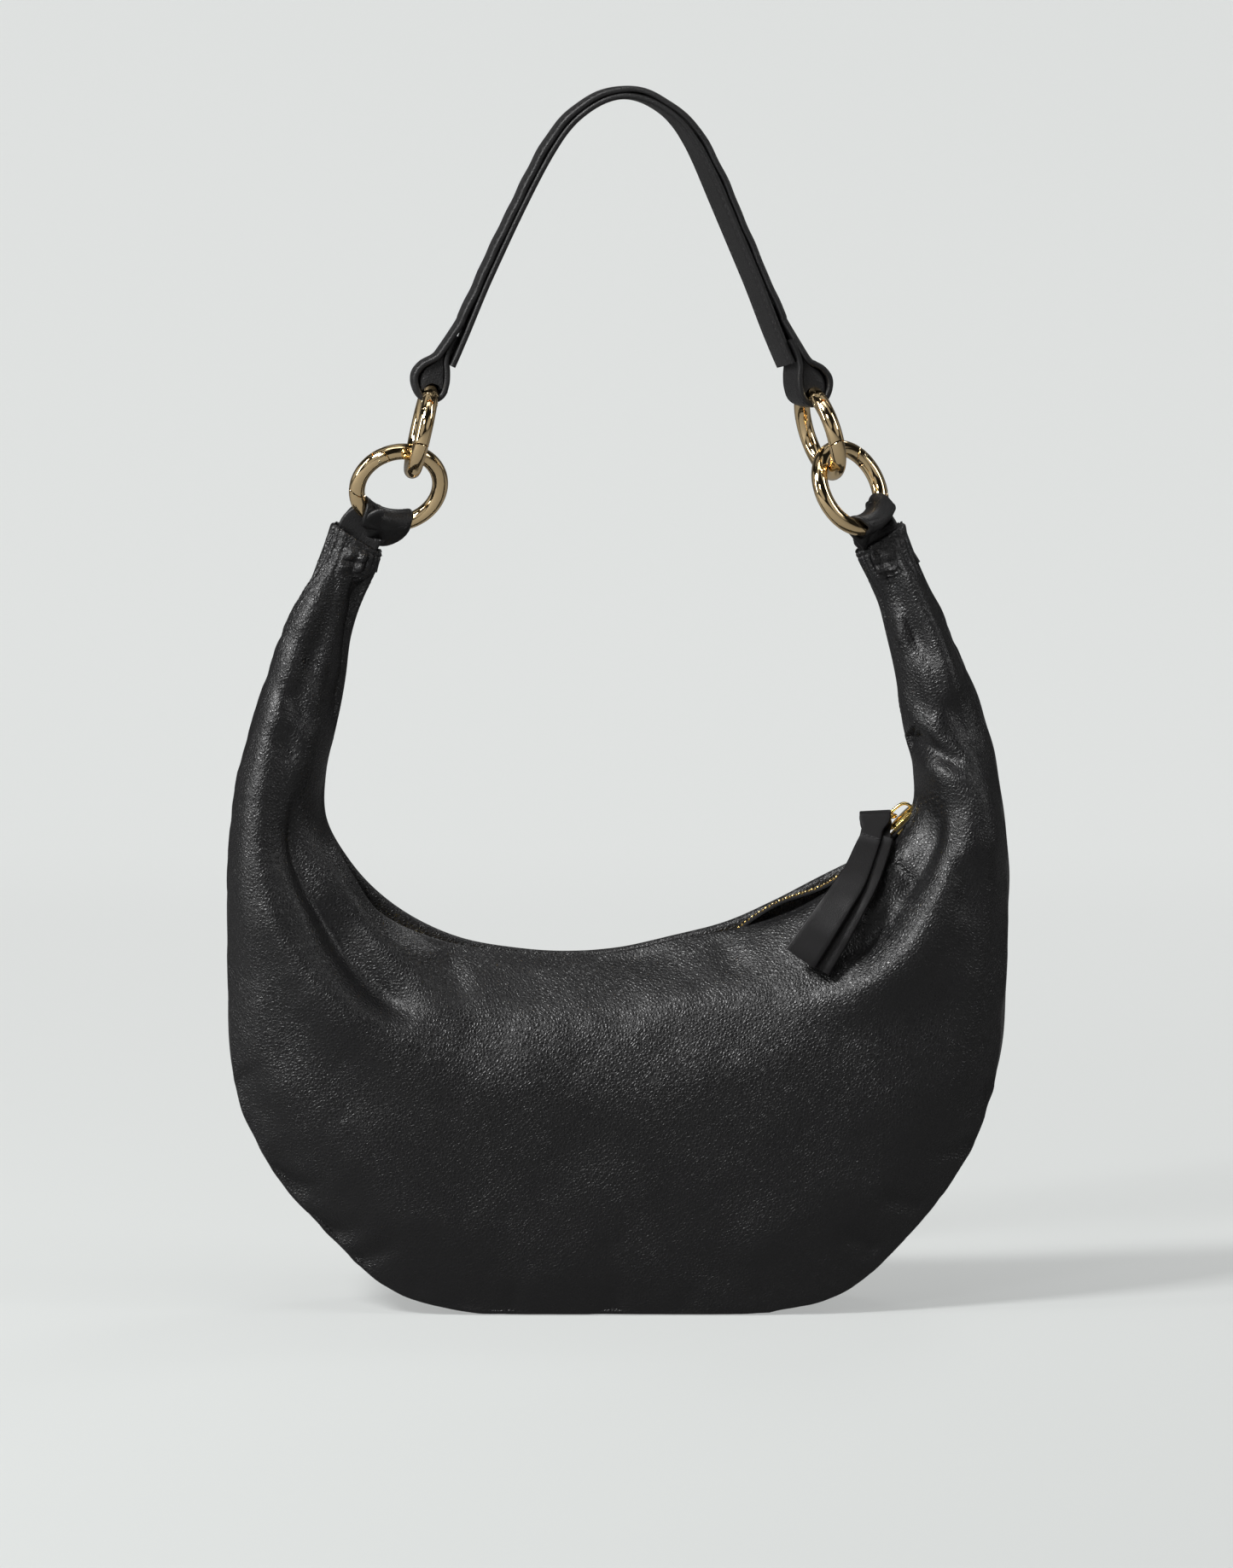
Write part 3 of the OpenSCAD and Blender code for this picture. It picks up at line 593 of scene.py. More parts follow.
def roll_s(P, N, r, first, depth, turn=180, steps=6, rows=3):
    """Extra columns that roll the edge at column 0 (or the last) inward, then run down inside by depth."""
    i, k = (0, 1) if first else (-1, -2)
    p, n = P[:, i], N[:, i]
    t = unit(P[:, i] - P[:, k])
    t = unit(t - (t * n).sum(-1, keepdims=True) * n)
    c = p - n * r
    cols = [c + r * (math.cos(a) * n + math.sin(a) * t) for a in np.radians(np.linspace(0, turn, steps + 1)[1:])]
    a = math.radians(turn)
    tail = cols[-1]
    dirn = -math.sin(a) * n + math.cos(a) * t
    cols += [tail + dirn * depth * j / rows for j in range(1, rows + 1)]
    E = np.stack(cols, 1)
    return np.concatenate([E[:, ::-1], P], 1) if first else np.concatenate([P, E], 1)


def roll_u(P, sign_ref, r, first, depth, steps=5, rows=2):
    N = grid_normals(P) * sign_ref
    PT = np.swapaxes(P, 0, 1)
    NT = np.swapaxes(N, 0, 1)
    return np.swapaxes(roll_s(PT, NT, r, first, depth, 180, steps, rows), 0, 1)


def tidy_corners(E, ca, cb, r=7):
    """Fold the corner patches, where two rolled edges meet, into the rows beside them."""
    nr, nc = E.shape[:2]
    for i in range(r):
        f = max(0.1, 1 - 0.3 * (r - i))
        for row, row0 in ((i, r), (nr - 1 - i, nr - 1 - r)):
            E[row, :ca] = E[row, ca] + f * (E[row0, :ca] - E[row0, ca])
            E[row, nc - cb:] = E[row, nc - cb - 1] + f * (E[row0, nc - cb:] - E[row0, nc - cb - 1])
    return E


def shell(name, P, mat, thick, sgn):
    N = grid_normals(P) * sgn
    return closed_sheet(name, P, P - N * thick, mat, 50)


def sign_of(P, g_dir):
    N = grid_normals(P)
    a, b = P.shape[0] // 2, P.shape[1] // 2
    return 1.0 if (N[a, b] * np.array(g_dir)).sum() > 0 else -1.0


NU = 520
NS = 92
R_EDGE = 1.25
U_ALL = np.linspace(0.06, 27.94, NU)
LEN = np.linalg.norm(cr(OUT, U_ALL) - cr(IN, U_ALL), axis=-1)
SKIN = {}
for g, nm in ((1, "front_panel"), (-1, "back_panel")):
    # denser columns near both edges
    q = np.linspace(0, 1, NS)
    S = q - 0.10 * np.sin(2 * math.pi * q) / (2 * math.pi) * 3
    S = S / S[-1] * 0.978
    P, N = panel(U_ALL, S, g)
    SKIN[g] = (P, N, S)
    sg = sign_of(P, (0, -g, 0))
    E = roll_s(P, N, R_EDGE, True, 4.0)
    E = roll_s(E, np.concatenate([np.repeat(N[:, :1], E.shape[1] - N.shape[1], 1), N], 1), R_EDGE, False, 1.5, 130, 5, 1)
    E = roll_u(E, sg, 1.1, True, 7)
    E = tidy_corners(roll_u(E, sg, 1.1, False, 7), 9, 6)
    E[..., 2] = np.maximum(E[..., 2], 0.01)
    o = shell(nm + "_leather", E, M_LEATHER, 0.85, sg)
    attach(o, "bag_body")
    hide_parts(nm)
    SKIN[nm] = o


def tree_of(o):
    me = o.data
    return BVHTree.FromPolygons([v.co.copy() for v in me.vertices], [list(p.vertices) for p in me.polygons])


FRONT_TREE = tree_of(SKIN["front_panel"])

# gusset between the two seams
UG = np.linspace(0.05, 27.95, NU)
QG = np.linspace(-1, 1, 44)
UU, QQ = np.meshgrid(UG, QG, indexing="ij")
b = trim(cr(OUT, UU))
gw = cr(GG, UU)
G = np.stack([b[..., 0], QQ * (gw - 1.1), b[..., 1]], -1)
NG = grid_normals(G)
outw = np.stack([G[..., 0], np.zeros_like(gw), G[..., 2] - 150], -1)
NG = NG * np.where((NG * outw).sum(-1, keepdims=True) < 0, -1, 1)
wav = 0.5 * noise_field(UU * 20, QQ * gw, 21, 30) * (1 - QQ ** 4) + 0.5 * np.clip(np.sin(UU * 8.7 + 1.1 * np.sin(UU * 2.1)), -0.3, 1) * smooth(np.abs(QQ), 0.55, 1) * -1
crown = 1.1 * (1 - QQ ** 2) * smooth(G[..., 2], 4, 30)
G = G + NG * (wav * smooth(G[..., 2], 1, 14) + crown)[..., None] * 0.8
G[..., 2] = np.maximum(G[..., 2], 0.0)
sgG = 1.0 if (grid_normals(G)[NU // 2, 15] * np.array([0, 0, -1])).sum() > 0 else -1.0
NG = grid_normals(G) * sgG
E = roll_s(G, NG, 1.1, True, 1.2, 120, 5, 1)
E = roll_s(E, np.concatenate([np.repeat(NG[:, :1], E.shape[1] - NG.shape[1], 1), NG], 1), 1.1, False, 1.2, 120, 5, 1)
E = roll_u(E, sgG, 1.1, True, 7)
E = tidy_corners(roll_u(E, sgG, 1.1, False, 7), 6, 6)
E[..., 2] = np.maximum(E[..., 2], 0.0)
gus = shell("base_gusset_leather", E, M_LEATHER, 0.85, sgG)
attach(gus, "bag_body")
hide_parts("base_gusset")

# ---------------------------------------------------------------- linings follow the sculpted leather
for g, nm in ((1, "lining_front"), (-1, "lining_back")):
    P, N, S = SKIN[g]
    iu = np.where((U_ALL > 6.6) & (U_ALL < 21.4))[0][::2]
    js = np.where((S > 0.12) & (S < 0.95))[0][::2]
    A = P[np.ix_(iu, js)] - N[np.ix_(iu, js)] * 2.6
    A[..., 2] = np.maximum(A[..., 2], 2.2)
    B = A - N[np.ix_(iu, js)] * 0.5
    o = closed_sheet(nm + "_cloth", A, B, M_LINING)
    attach(o, "bag_body")
    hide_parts(nm)
    if g < 0:
        iu = np.where((U_ALL > 11.5) & (U_ALL < 16.5))[0][::2]
        js = np.where((S > 0.3) & (S < 0.7))[0][::2]
        A = P[np.ix_(iu, js)] - N[np.ix_(iu, js)] * 3.7
        top = np.linspace(1, 0, A.shape[1])[None, :, None] ** 3 * 2.2
        A = A + np.array([0, -1, 0]) * top
        o = closed_sheet("slip_pocket_cloth", A, A + np.array([0, -0.6, 0]), M_LINING)
        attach(o, "bag_body")
        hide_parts("slip_pocket")
iu = np.where((UG > 6.6) & (UG < 21.4))[0][::2]
A = G[iu][:, 4:-4:2] - NG[iu][:, 4:-4:2] * 2.6
A[..., 2] = np.maximum(A[..., 2], 2.2)
o = closed_sheet("lining_base_cloth", A, A - NG[iu][:, 4:-4:2] * 0.5, M_LINING)
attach(o, "bag_body")
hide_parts("lining_base")

# ---------------------------------------------------------------- stitches at the arms' mouths
def surf_at(g, u, s):
    """Point and normal of the sculpted panel, by table look-up."""
    P, N, S = SKIN[g]
    fu = np.interp(u, U_ALL, np.arange(len(U_ALL)))
    fs = np.interp(s, S, np.arange(len(S)))
    i = np.clip(np.floor(fu).astype(int), 0, len(U_ALL) - 2)
    j = np.clip(np.floor(fs).astype(int), 0, len(S) - 2)
    a, b_ = (fu - i)[..., None], (fs - j)[..., None]
    mix = lambda A: A[i, j] * (1 - a) * (1 - b_) + A[i + 1, j] * a * (1 - b_) + A[i, j + 1] * (1 - a) * b_ + A[i + 1, j + 1] * a * b_
    return mix(P), unit(mix(N))


rows = []
for g in (1, -1):
    for u0, tag in ((0.27, "l"), (27.73, "r")):
        s = np.linspace(0.06, 0.94, 400)
        P, N = surf_at(g, np.full_like(s, u0), s)
        L = np.concatenate([[0], np.cumsum(np.linalg.norm(np.diff(P, axis=0), axis=1))])
        q = np.arange(1.2, L[-1] - 1, 2.7)
        C = np.stack([np.interp(q, L, P[:, k]) for k in range(3)], 1)
        NN = np.stack([np.interp(q, L, N[:, k]) for k in range(3)], 1)
        TT = unit(np.gradient(C, axis=0))
        rows.append(thread_row("st" + tag, C, NN, TT, M_THREAD, 1.9, 0.24, 0.0))
o = join("arm_mouth_stitches", rows)
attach(o, "bag_body")


# ---------------------------------------------------------------- zip
ZC = np.array([-14.0, 304.0])
ZR = 172.5


def zip_pt(a, dr=0.0):
    """Point of the zip line at angle a in degrees, dr outwards (down)."""
    a = np.radians(a)
    x = ZC[0] + (ZR + dr) * np.cos(a)
    z = ZC[1] + (ZR + dr) * np.sin(a)
    return np.stack([x, np.zeros_like(x), z - 4.2 * (1 - smooth(x, 30, 52)) + 3.2 * bump(x, 40, 60, 80)], -1)


def zip_frames(a):
    P = zip_pt(a)
    T = unit(zip_pt(a + 0.05) - zip_pt(a - 0.05))
    Nn = np.stack([-T[..., 2], np.zeros_like(T[..., 0]), T[..., 0]], -1)
    return P, T, Nn


a = np.linspace(-116.5, -43, 220)
P, T, Nn = zip_frames(a)
for g, nm in ((1, "front"), (-1, "back")):
    yy = np.linspace(1.2, 6.6, 10)
    fold = 0.22 * np.sin(yy * 1.4)
    tp = P[:, None] + np.array([0, -g, 0]) * yy[None, :, None] + Nn[:, None] * fold[None, :, None]
    o = closed_sheet("zip_tape_%s_cloth" % nm, tp + Nn[:, None] * 0.3, tp - Nn[:, None] * 0.3, M_TAPE, 60)
    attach(o, "bag_body")
    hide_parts("zip_tape_" + nm)
    # teeth: rounded cross bars clamped on the tape's edge
    pitch = math.degrees(2.75 / ZR)
    n_t = int(69.5 / pitch)
    aa = -116.0 + (np.arange(n_t) + (0.0 if g > 0 else 0.5)) * pitch
    C, TT, NN = zip_frames(aa)
    sec = rounded(0.95, 2.1, 0.4, 4)
    ys = np.array([-0.95, -0.8, -0.3, 1.2, 2.6, 2.95])
    sc = np.array([0.62, 0.85, 1.0, 1.0, 0.92, 0.6])
    V, F = [], []
    k = len(sec)
    base = [list(f) for f in quads(len(ys), k, wrap_m=True)] + [list(range(k))[::-1], [(len(ys) - 1) * k + j for j in range(k)]]
    for c, t, n in zip(C, TT, NN):
        o0 = len(V) * len(ys) * k
        V.append((c + np.array([0, -g, 0]) * ys[:, None, None] + sc[:, None, None] * (sec[None, :, :1] * t + sec[None, :, 1:] * n)).reshape(-1, 3))
        F += [[i + o0 for i in f] for f in base]
    o = mesh_obj("zip_teeth_%s_metal" % nm, np.concatenate(V), F, M_ZIP, 40)
    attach(o, "bag_body")
    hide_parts("zip_teeth_" + nm)
    # leather facing below the rim
    U = np.linspace(7.8, 20.7, 200)
    Pp, Np = panel(np.linspace(7.8, 20.7, 200), np.array([0.0, 0.004]), g)
    rim = Pp[:, 0]
    dn = unit(np.stack([(cr(OUT, U) - cr(IN, U))[:, 0], np.zeros(200), (cr(OUT, U) - cr(IN, U))[:, 1]], 1))
    dd = np.array([0.4, 0.15, 0.3, 1.0, 2.5, 5.0, 8.0])
    iy = np.array([1.9, 2.3, 2.75, 2.95, 3.0, 3.1, 3.2])
    fc = rim[:, None] + dn[:, None] * dd[None, :, None] + np.array([0, g, 0]) * iy[None, :, None]
    o = closed_sheet("zip_facing_%s_leather" % nm, fc, fc + np.array([0, g * 0.9, 0]) + dn[:, None] * np.array([0.5, 0.6, 0.4, 0.1, 0, 0, 0])[None, :, None], M_LEATHER, 60)
    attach(o, "bag_body")
    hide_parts("zip_facing_" + nm)

st = []
for a_, ys_ in ((-117.2, (-1.6, 1.6)), (-42.2, (-2.0, 2.0))):
    P0, T0, N0 = zip_frames(np.array([a_]))
    for y_ in ys_:
        C = P0[0] + np.array([0, y_, 0]) + T0[0] * np.linspace(-1.5, 1.5, 7)[:, None]
        st.append(sweep("stop", C, np.repeat(N0, 7, 0), np.array([[0, 1.0, 0]] * 7), rounded(2.4, 1.9, 0.6), M_ZIP, 50, True, [0.8, 0.95, 1, 1, 1, 0.95, 0.8]))
o = join("zip_end_stops_metal", st)
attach(o, "bag_body")
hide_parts("zip_end_stops")

# slider: two shaped plates, side flanges, a nose post and a tall bridge
sa = -45.0
SP = np.array([ZC[0] + ZR * math.cos(math.radians(sa)), 0, ZC[1] + ZR * math.sin(math.radians(sa))])
ST = np.array([-math.sin(math.radians(sa)), 0, math.cos(math.radians(sa))])
SN = np.array([-math.cos(math.radians(sa)), 0, -math.sin(math.radians(sa))])
SY = np.array([0, 1.0, 0])


def plate(h0, h1, length, wid, bulge):
    k = 48
    a = np.linspace(0, 2 * math.pi, k, endpoint=False)
    c, s = np.cos(a), np.sin(a)
    x = np.sign(c) * np.abs(c) ** 0.62 * length / 2
    w = wid / 2 * (1 - 0.18 * np.clip(-x / (length / 2), -1, 1))
    y = np.sign(s) * np.abs(s) ** 0.62 * w
    rings = []
    for h, f in ((h0, 0.9), (h0 + 0.25 * np.sign(h1 - h0), 1.0), (h1 - 0.35 * np.sign(h1 - h0), 1.0), (h1 - 0.1 * np.sign(h1 - h0), 0.93), (h1 + bulge, 0.6), (h1 + bulge * 1.2, 0.2)):
        rings.append(SP + (x * f)[:, None] * ST + (y * f)[:, None] * SY + h * SN)
    R = np.array(rings)
    n = len(R)
    V = np.concatenate([R.reshape(-1, 3), R[0].mean(0)[None], R[-1].mean(0)[None]])
    F = [list(f) for f in quads(n, k, wrap_m=True)]
    for j in range(k):
        F.append([n * k, (j + 1) % k, j])
        F.append([n * k + 1, (n - 1) * k + j, (n - 1) * k + (j + 1) % k])
    return mesh_obj("plate", V, F, M_ZIP, 40)


parts = [plate(1.75, 3.0, 13.4, 9.6, 0.35), plate(-1.75, -2.9, 13.4, 9.6, -0.3)]
for y in (-4.2, 4.2):
    C = np.array([SP + ST * x + SY * y for x in np.linspace(-5.4, 4.6, 9)])
    parts.append(sweep("fl", C, np.repeat(SY[None], 9, 0), np.repeat(SN[None], 9, 0), rounded(1.0, 3.9, 0.3), M_ZIP))
C = np.array([SP + ST * 4.9 + SN * h for h in np.linspace(-2.2, 2.2, 5)])
parts.append(sweep("post", C, np.repeat(ST[None], 5, 0), np.repeat(SY[None], 5, 0), circle(1.25, 20), M_ZIP))
ctl = np.array([SP + ST * x + SN * h for x, h in ((-5.0, 2.2), (-4.9, 4.4), (-3.4, 6.0), (0, 6.5), (3.4, 5.9), (4.9, 4.3), (5.0, 2.2))])
C = resample(ctl, 0.5)
T_, S_, N_ = path_frames(C, (0, 1, 0))
parts.append(sweep("bridge", C, S_, N_, wide(1.15, 2.3, 0.5, 2, 4), M_ZIP))
o = join("zip_slider_metal", parts)
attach(o, "zip_slider")
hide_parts("zip_slider")

# link
LKH = np.array([103.75, 0, 184.15])
LKD = unit(np.array([-0.999, 0, -0.05]))
LKF = LKH + 7.5 * LKD - np.array([0, 3.0, 0])
ang = np.radians(np.linspace(90, 270, 25))
loop = [LKH + LKD * (3 + 3 * math.cos(t)) + SY * 3 * math.sin(t) for t in ang]
ang = np.radians(np.linspace(-90, 90, 25))
loop += [LKH + LKD * (8.6 + 3 * math.cos(t)) + SY * 3 * math.sin(t) for t in ang]
loop = np.array(loop)
LN = np.cross(LKD, SY)
dense = []
for i in range(len(loop)):
    p, q = loop[i], loop[(i + 1) % len(loop)]
    m = max(int(np.linalg.norm(q - p) / 0.5), 1)
    dense += [p + (q - p) * j / m for j in range(m)]
dense = np.array(dense)
T_ = unit(np.roll(dense, -1, 0) - np.roll(dense, 1, 0))
S_ = unit(np.cross(T_, LN))
k = 18
sec = circle(0.82, k)
V = dense[:, None] + sec[None, :, :1] * S_[:, None] + sec[None, :, 1:] * LN
o = mesh_obj("zip_link_metal", V.reshape(-1, 3), quads(len(dense), k, True, True), M_ZIP, 60)
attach(o, "zip_link")
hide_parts("zip_link")


# ---------------------------------------------------------------- pull: one strip folded over the link
def from_view(px, py, y):
    return np.array([(px - 725) * 0.32, y, ((1537 - py) * 0.32 - 2.6 - 0.087 * y) / 0.996])


def front_y(x, z):
    hit = FRONT_TREE.ray_cast(Vector((x * MM, -0.2, z * MM)), Vector((0, 1, 0)))
    return hit[0].y / MM if hit[0] is not None else 0.0


PULL_A = [5.5, 9, 15, 22, 32, 44, 58]
PULL_Y = [-7.4, -11, -16, -21.5, -27, -30, -31.5]


def pull_layer(name, edges, gap, thick, y0):
    """A strip from its two edges in view units, laid gap mm in front of the panel."""
    Lf = resample(np.array([e[0] for e in edges], float), 3.0)
    n = len(Lf)
    Rt = resample(np.array([e[1] for e in edges], float), 3.0)
    Rt = np.stack([np.interp(np.linspace(0, 1, n), np.linspace(0, 1, len(Rt)), Rt[:, k]) for k in range(2)], 1)
    C = []
    for i in range(n):
        f = i / (n - 1)
        c = (Lf[i] + Rt[i]) / 2
        ys = [np.interp(5.5 + 52.5 * f, PULL_A, PULL_Y) - y0]
        for e in (Lf[i], c, Rt[i]):
            for _ in range(2):
                p = from_view(e[0], e[1], min(ys))
                ys.append(front_y(p[0], p[2]) - gap)
        C.append(min(ys))
    C = np.array(C)
    C = np.minimum(C, np.convolve(np.pad(C, 4, mode="edge"), np.ones(9) / 9, "valid"))
    C = np.convolve(np.pad(C, 3, mode="edge"), np.ones(7) / 7, "valid")
    A = np.array([from_view(l[0], l[1], y + 1.2 * (1 - i / n)) for i, (l, y) in enumerate(zip(Lf, C))])
    B = np.array([from_view(r_[0], r_[1], y - 0.8) for r_, y in zip(Rt, C)])
    M = (A + B) / 2
    X = unit(B - A)
    T_ = unit(np.gradient(M, axis=0))
    X = unit(X - (X * T_).sum(-1, keepdims=True) * T_)
    Yn = np.cross(T_, X)
    if Yn[n // 2][1] > 0:
        Yn = -Yn
    W = np.linalg.norm(B - A, axis=1)
    secs = np.array([wide(w, thick, 0.55, 7, 4) for w in W])
    return M, X, Yn, secs, W


front_edges = [((1008, 977), (1032, 983)), ((1000, 992), (1025, 1002)), ((988, 1016), (1012, 1034)), ((968, 1046), (994, 1062)), ((942, 1084), (974, 1092)), ((915, 1124), (956, 1118))]
back_edges = [((1018, 977), (1047, 982)), ((1011, 992), (1040, 1002)), ((1001, 1016), (1027, 1034)), ((981, 1048), (1010, 1064)), ((957, 1090), (990, 1096)), ((933, 1137), (971, 1123))]
PULL = {}
for nm, ed, gap, th, y0 in (("front", front_edges, 3.6, 1.9, 2.9), ("back", back_edges, 1.35, 1.9, 0.9)):
    M, X, Yn, secs, W = pull_layer(nm, ed, gap, th, y0)
    PULL[nm] = (M, X, Yn, W)
    P = M[:, None] + secs[..., :1] * X[:, None] + secs[..., 1:] * Yn[:, None]
    n, k = P.shape[:2]
    # a slightly rounded lower end
    F = list(quads(n, k, wrap_m=True))
    V = np.concatenate([P.reshape(-1, 3), P[0].mean(0)[None], P[-1].mean(0)[None] + unit(M[-1] - M[-2])[None] * 0.15])
    for j in range(k):
        F.append([n * k, (j + 1) % k, j])
        F.append([n * k + 1, (n - 1) * k + j, (n - 1) * k + (j + 1) % k])
    o = mesh_obj("pull_tab_%s_leather" % nm, V, F, M_SMOOTH, 45)
    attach(o, "zip_pull_tab")
    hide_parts("pull_tab_" + nm)
# the fold over the link's front limb, pinched by a stitched crease below it
Mf, Xf, Yf, Wf = PULL["front"]
Mb, Xb, Yb, Wb = PULL["back"]
axis = LKD
tdir = unit((Mf[0] + Mb[0]) / 2 - LKF)
tdir = unit(tdir - (tdir * axis).sum() * axis)
ndir = np.cross(axis, tdir)
if ndir[1] > 0:
    ndir = -ndir
ctl = [Mf[5], Mf[3], Mf[1]]
for an in np.radians(np.linspace(-25, 205, 24)):
    ctl.append(LKF + 2.0 * (math.cos(an) * ndir - math.sin(an) * tdir))
ctl += [Mb[1], Mb[3], Mb[5]]
seg = []
for p, q in zip(ctl[:-1], ctl[1:]):
    m = max(int(np.linalg.norm(q - p) / 0.25), 1)
    seg += [p + (q - p) * j / m for j in range(m)]
C = np.array(seg + [ctl[-1]])
ker = np.ones(7) / 7
C = np.stack([np.convolve(np.pad(C[:, k], 3, mode="edge"), ker, "valid") for k in range(3)], 1)
wn = 1 - smooth(np.linalg.norm(C - LKF, axis=1), 2.4, 8)
Xc = unit(wn[:, None] * -axis + (1 - wn)[:, None] * (Xf[0] + Xb[0]) / 2)
Wc = 8.2 + 3.6 * wn
T_ = unit(np.gradient(C, axis=0))
Xc = unit(Xc - (Xc * T_).sum(-1, keepdims=True) * T_)
Yc = np.cross(T_, Xc)
secs = np.array([wide(w, 1.6, 0.5, 7, 4) for w in Wc])
o = sweep("pull_fold_leather", C, Xc, Yc, secs, M_SMOOTH, 45)
st = []
for MM_, XX_, YY_, WW_ in ((Mf, Xf, Yf, Wf),):
    c = MM_[0] + (MM_[1] - MM_[0]) * 0.3
    x = np.linspace(-0.36, 0.36, 4) * WW_[0]
    st.append(thread_row("ps", c + x[:, None] * XX_[0] + YY_[0] * 1.0, np.repeat(YY_[0][None], 4, 0), np.repeat(XX_[0][None], 4, 0), M_THREAD, 1.7, 0.24, 0.05))
o = join("pull_tab_fold_leather", [o] + st)
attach(o, "zip_pull_tab")
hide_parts("pull_tab_fold")

# ---------------------------------------------------------------- rings
R = 15.8
WIRE = 3.0
WL = np.array([-75.5, -9, 320.5])
WR = np.array([77.5, -9, 320.5])


def on(x, y, d):
    d = math.radians(d)
    return math.cos(d) * x + math.sin(d) * y


def side(u, d):
    h = np.array([math.sin(math.radians(d)), -math.cos(math.radians(d)), 0])
    return unit(h - (h * u).sum() * u)


ll_x, ll_y = unit([0.924, 0, 0.383]), unit([-0.325, -0.53, 0.784])
lr_x, lr_y = unit([0.485, 0, -0.874]), unit([0.562, 0.766, 0.312])
ul_y, ur_y = unit([0.22, 0, 0.976]), unit([-0.3, 0, 0.954])
ul_x, ur_x = side(ul_y, 5), side(ur_y, 18)
RINGS = {
    "left_lower": (WL - R * on(ll_x, ll_y, 45), ll_x, ll_y, 98, False),
    "right_lower": (WR - R * on(lr_x, lr_y, 188), lr_x, lr_y, -118, True),
    "left_upper": (WL + (R - 6.6) * ul_y, ul_x, ul_y, -42, True),
    "right_upper": (WR + (R - 7.5) * ur_y, ur_x, ur_y, -42, True),
}
ARC_GATE = 62.0


def clip_circle(r, lo, hi, k=40):
    """Circle section points (radial, axial) clipped to lo < axial < hi."""
    pts = []
    a = np.linspace(0, 2 * math.pi, k * 4, endpoint=False)
    for t in a:
        x, z = r * math.cos(t), r * math.sin(t)
        if lo <= z <= hi:
            pts.append((x, z))
    pts = np.array(pts)
    for zz in (lo, hi):
        if abs(zz) < r:
            w = math.sqrt(r * r - zz * zz)
            xs_ = np.linspace(-w, w, 12)
            pts = np.concatenate([pts, np.stack([xs_, np.full(12, zz)], 1)])
    c = pts.mean(0)
    an = np.arctan2(pts[:, 1] - c[1], pts[:, 0] - c[0])
    return pts[np.argsort(an)]


def pin_angle(rho, rc):
    """Angle from the pin, in degrees, where the wire's line at radial offset rho is rc from the pin."""
    v = ((R + rho) ** 2 + R ** 2 - rc ** 2) / (2 * R * (R + rho))
    return np.degrees(np.arccos(np.clip(v, -1, 1)))


def torus_piece(c, x, y, z, sec, a0, a1, n, bev=0.14):
    """Piece of a torus whose section points each have their own start and end angle."""
    a0 = np.broadcast_to(a0, (len(sec),))
    a1 = np.broadcast_to(a1, (len(sec),))
    da = math.degrees(bev / R)
    mid = sec.mean(0)
    rings = []

    def ring(al, s):
        q = mid + (sec - mid) * s
        al = np.radians(al)
        return c + ((R + q[:, 0]) * np.cos(al))[:, None] * x + ((R + q[:, 0]) * np.sin(al))[:, None] * y + q[:, 1][:, None] * z

    rings.append(ring(a0, 0.955))
    for t in np.linspace(0, 1, n):
        rings.append(ring(a0 + da + (a1 - a0 - 2 * da) * t, 1.0))
    rings.append(ring(a1, 0.955))
    P = np.array(rings)
    m, k = P.shape[:2]
    V = np.concatenate([P.reshape(-1, 3), P[0].mean(0)[None], P[-1].mean(0)[None]])
    F = [list(f) for f in quads(m, k, wrap_m=True)]
    for j in range(k):
        F.append([m * k, (j + 1) % k, j])
        F.append([m * k + 1, (m - 1) * k + j, (m - 1) * k + (j + 1) % k])
    return mesh_obj("tp", V, F, M_RING, 32)


for nm, (c, x, y, p, turned) in RINGS.items():
    z = np.cross(x, y)
    if turned:
        y, z = -y, -z
    full = circle(WIRE, 40)
    n = 90
    catch = 2 * R * math.sin(math.radians(ARC_GATE / 2))
    main = torus_piece(c, x, y, z, full, p + pin_angle(full[:, 0], catch + 0.28), p + 360 - pin_angle(full[:, 0], 3.62), n)
    sec = clip_circle(2.93, -1.0, 1.0)
    tongue = torus_piece(c, x, y, z, sec, p - 16, p + pin_angle(sec[:, 0], 2.95), 14, 0.1)
    o = join(nm + "_ring_metal", [main, tongue])
    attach(o, nm + "_ring")
    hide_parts(nm + "_ring")
    gm = torus_piece(c, x, y, z, full, p + pin_angle(full[:, 0], 3.3), p + pin_angle(full[:, 0], catch), 40)
    ears = []
    for lo, hi in ((1.08, 3.1), (-3.1, -1.08)):
        sec = clip_circle(WIRE, lo, hi)
        ears.append(torus_piece(c, x, y, z, sec, p - pin_angle(sec[:, 0], 3.4), p + 15, 16, 0.1))
    o = join(nm + "_gate_metal", [gm] + ears)
    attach(o, nm + "_gate")
    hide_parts(nm + "_gate")
    pc = c + R * (math.cos(math.radians(p)) * x + math.sin(math.radians(p)) * y)
    hs = np.array([-3.12, -3.05, -2.9, 2.9, 3.05, 3.12])
    C = pc + hs[:, None] * z
    o = sweep(nm + "_pin_metal", C, np.repeat(x[None], 6, 0), np.repeat(y[None], 6, 0), circle(0.85, 20), M_STEEL, 50, True, [0.6, 0.9, 1, 1, 0.9, 0.6])
    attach(o, nm + "_ring")
    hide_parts(nm + "_pin")


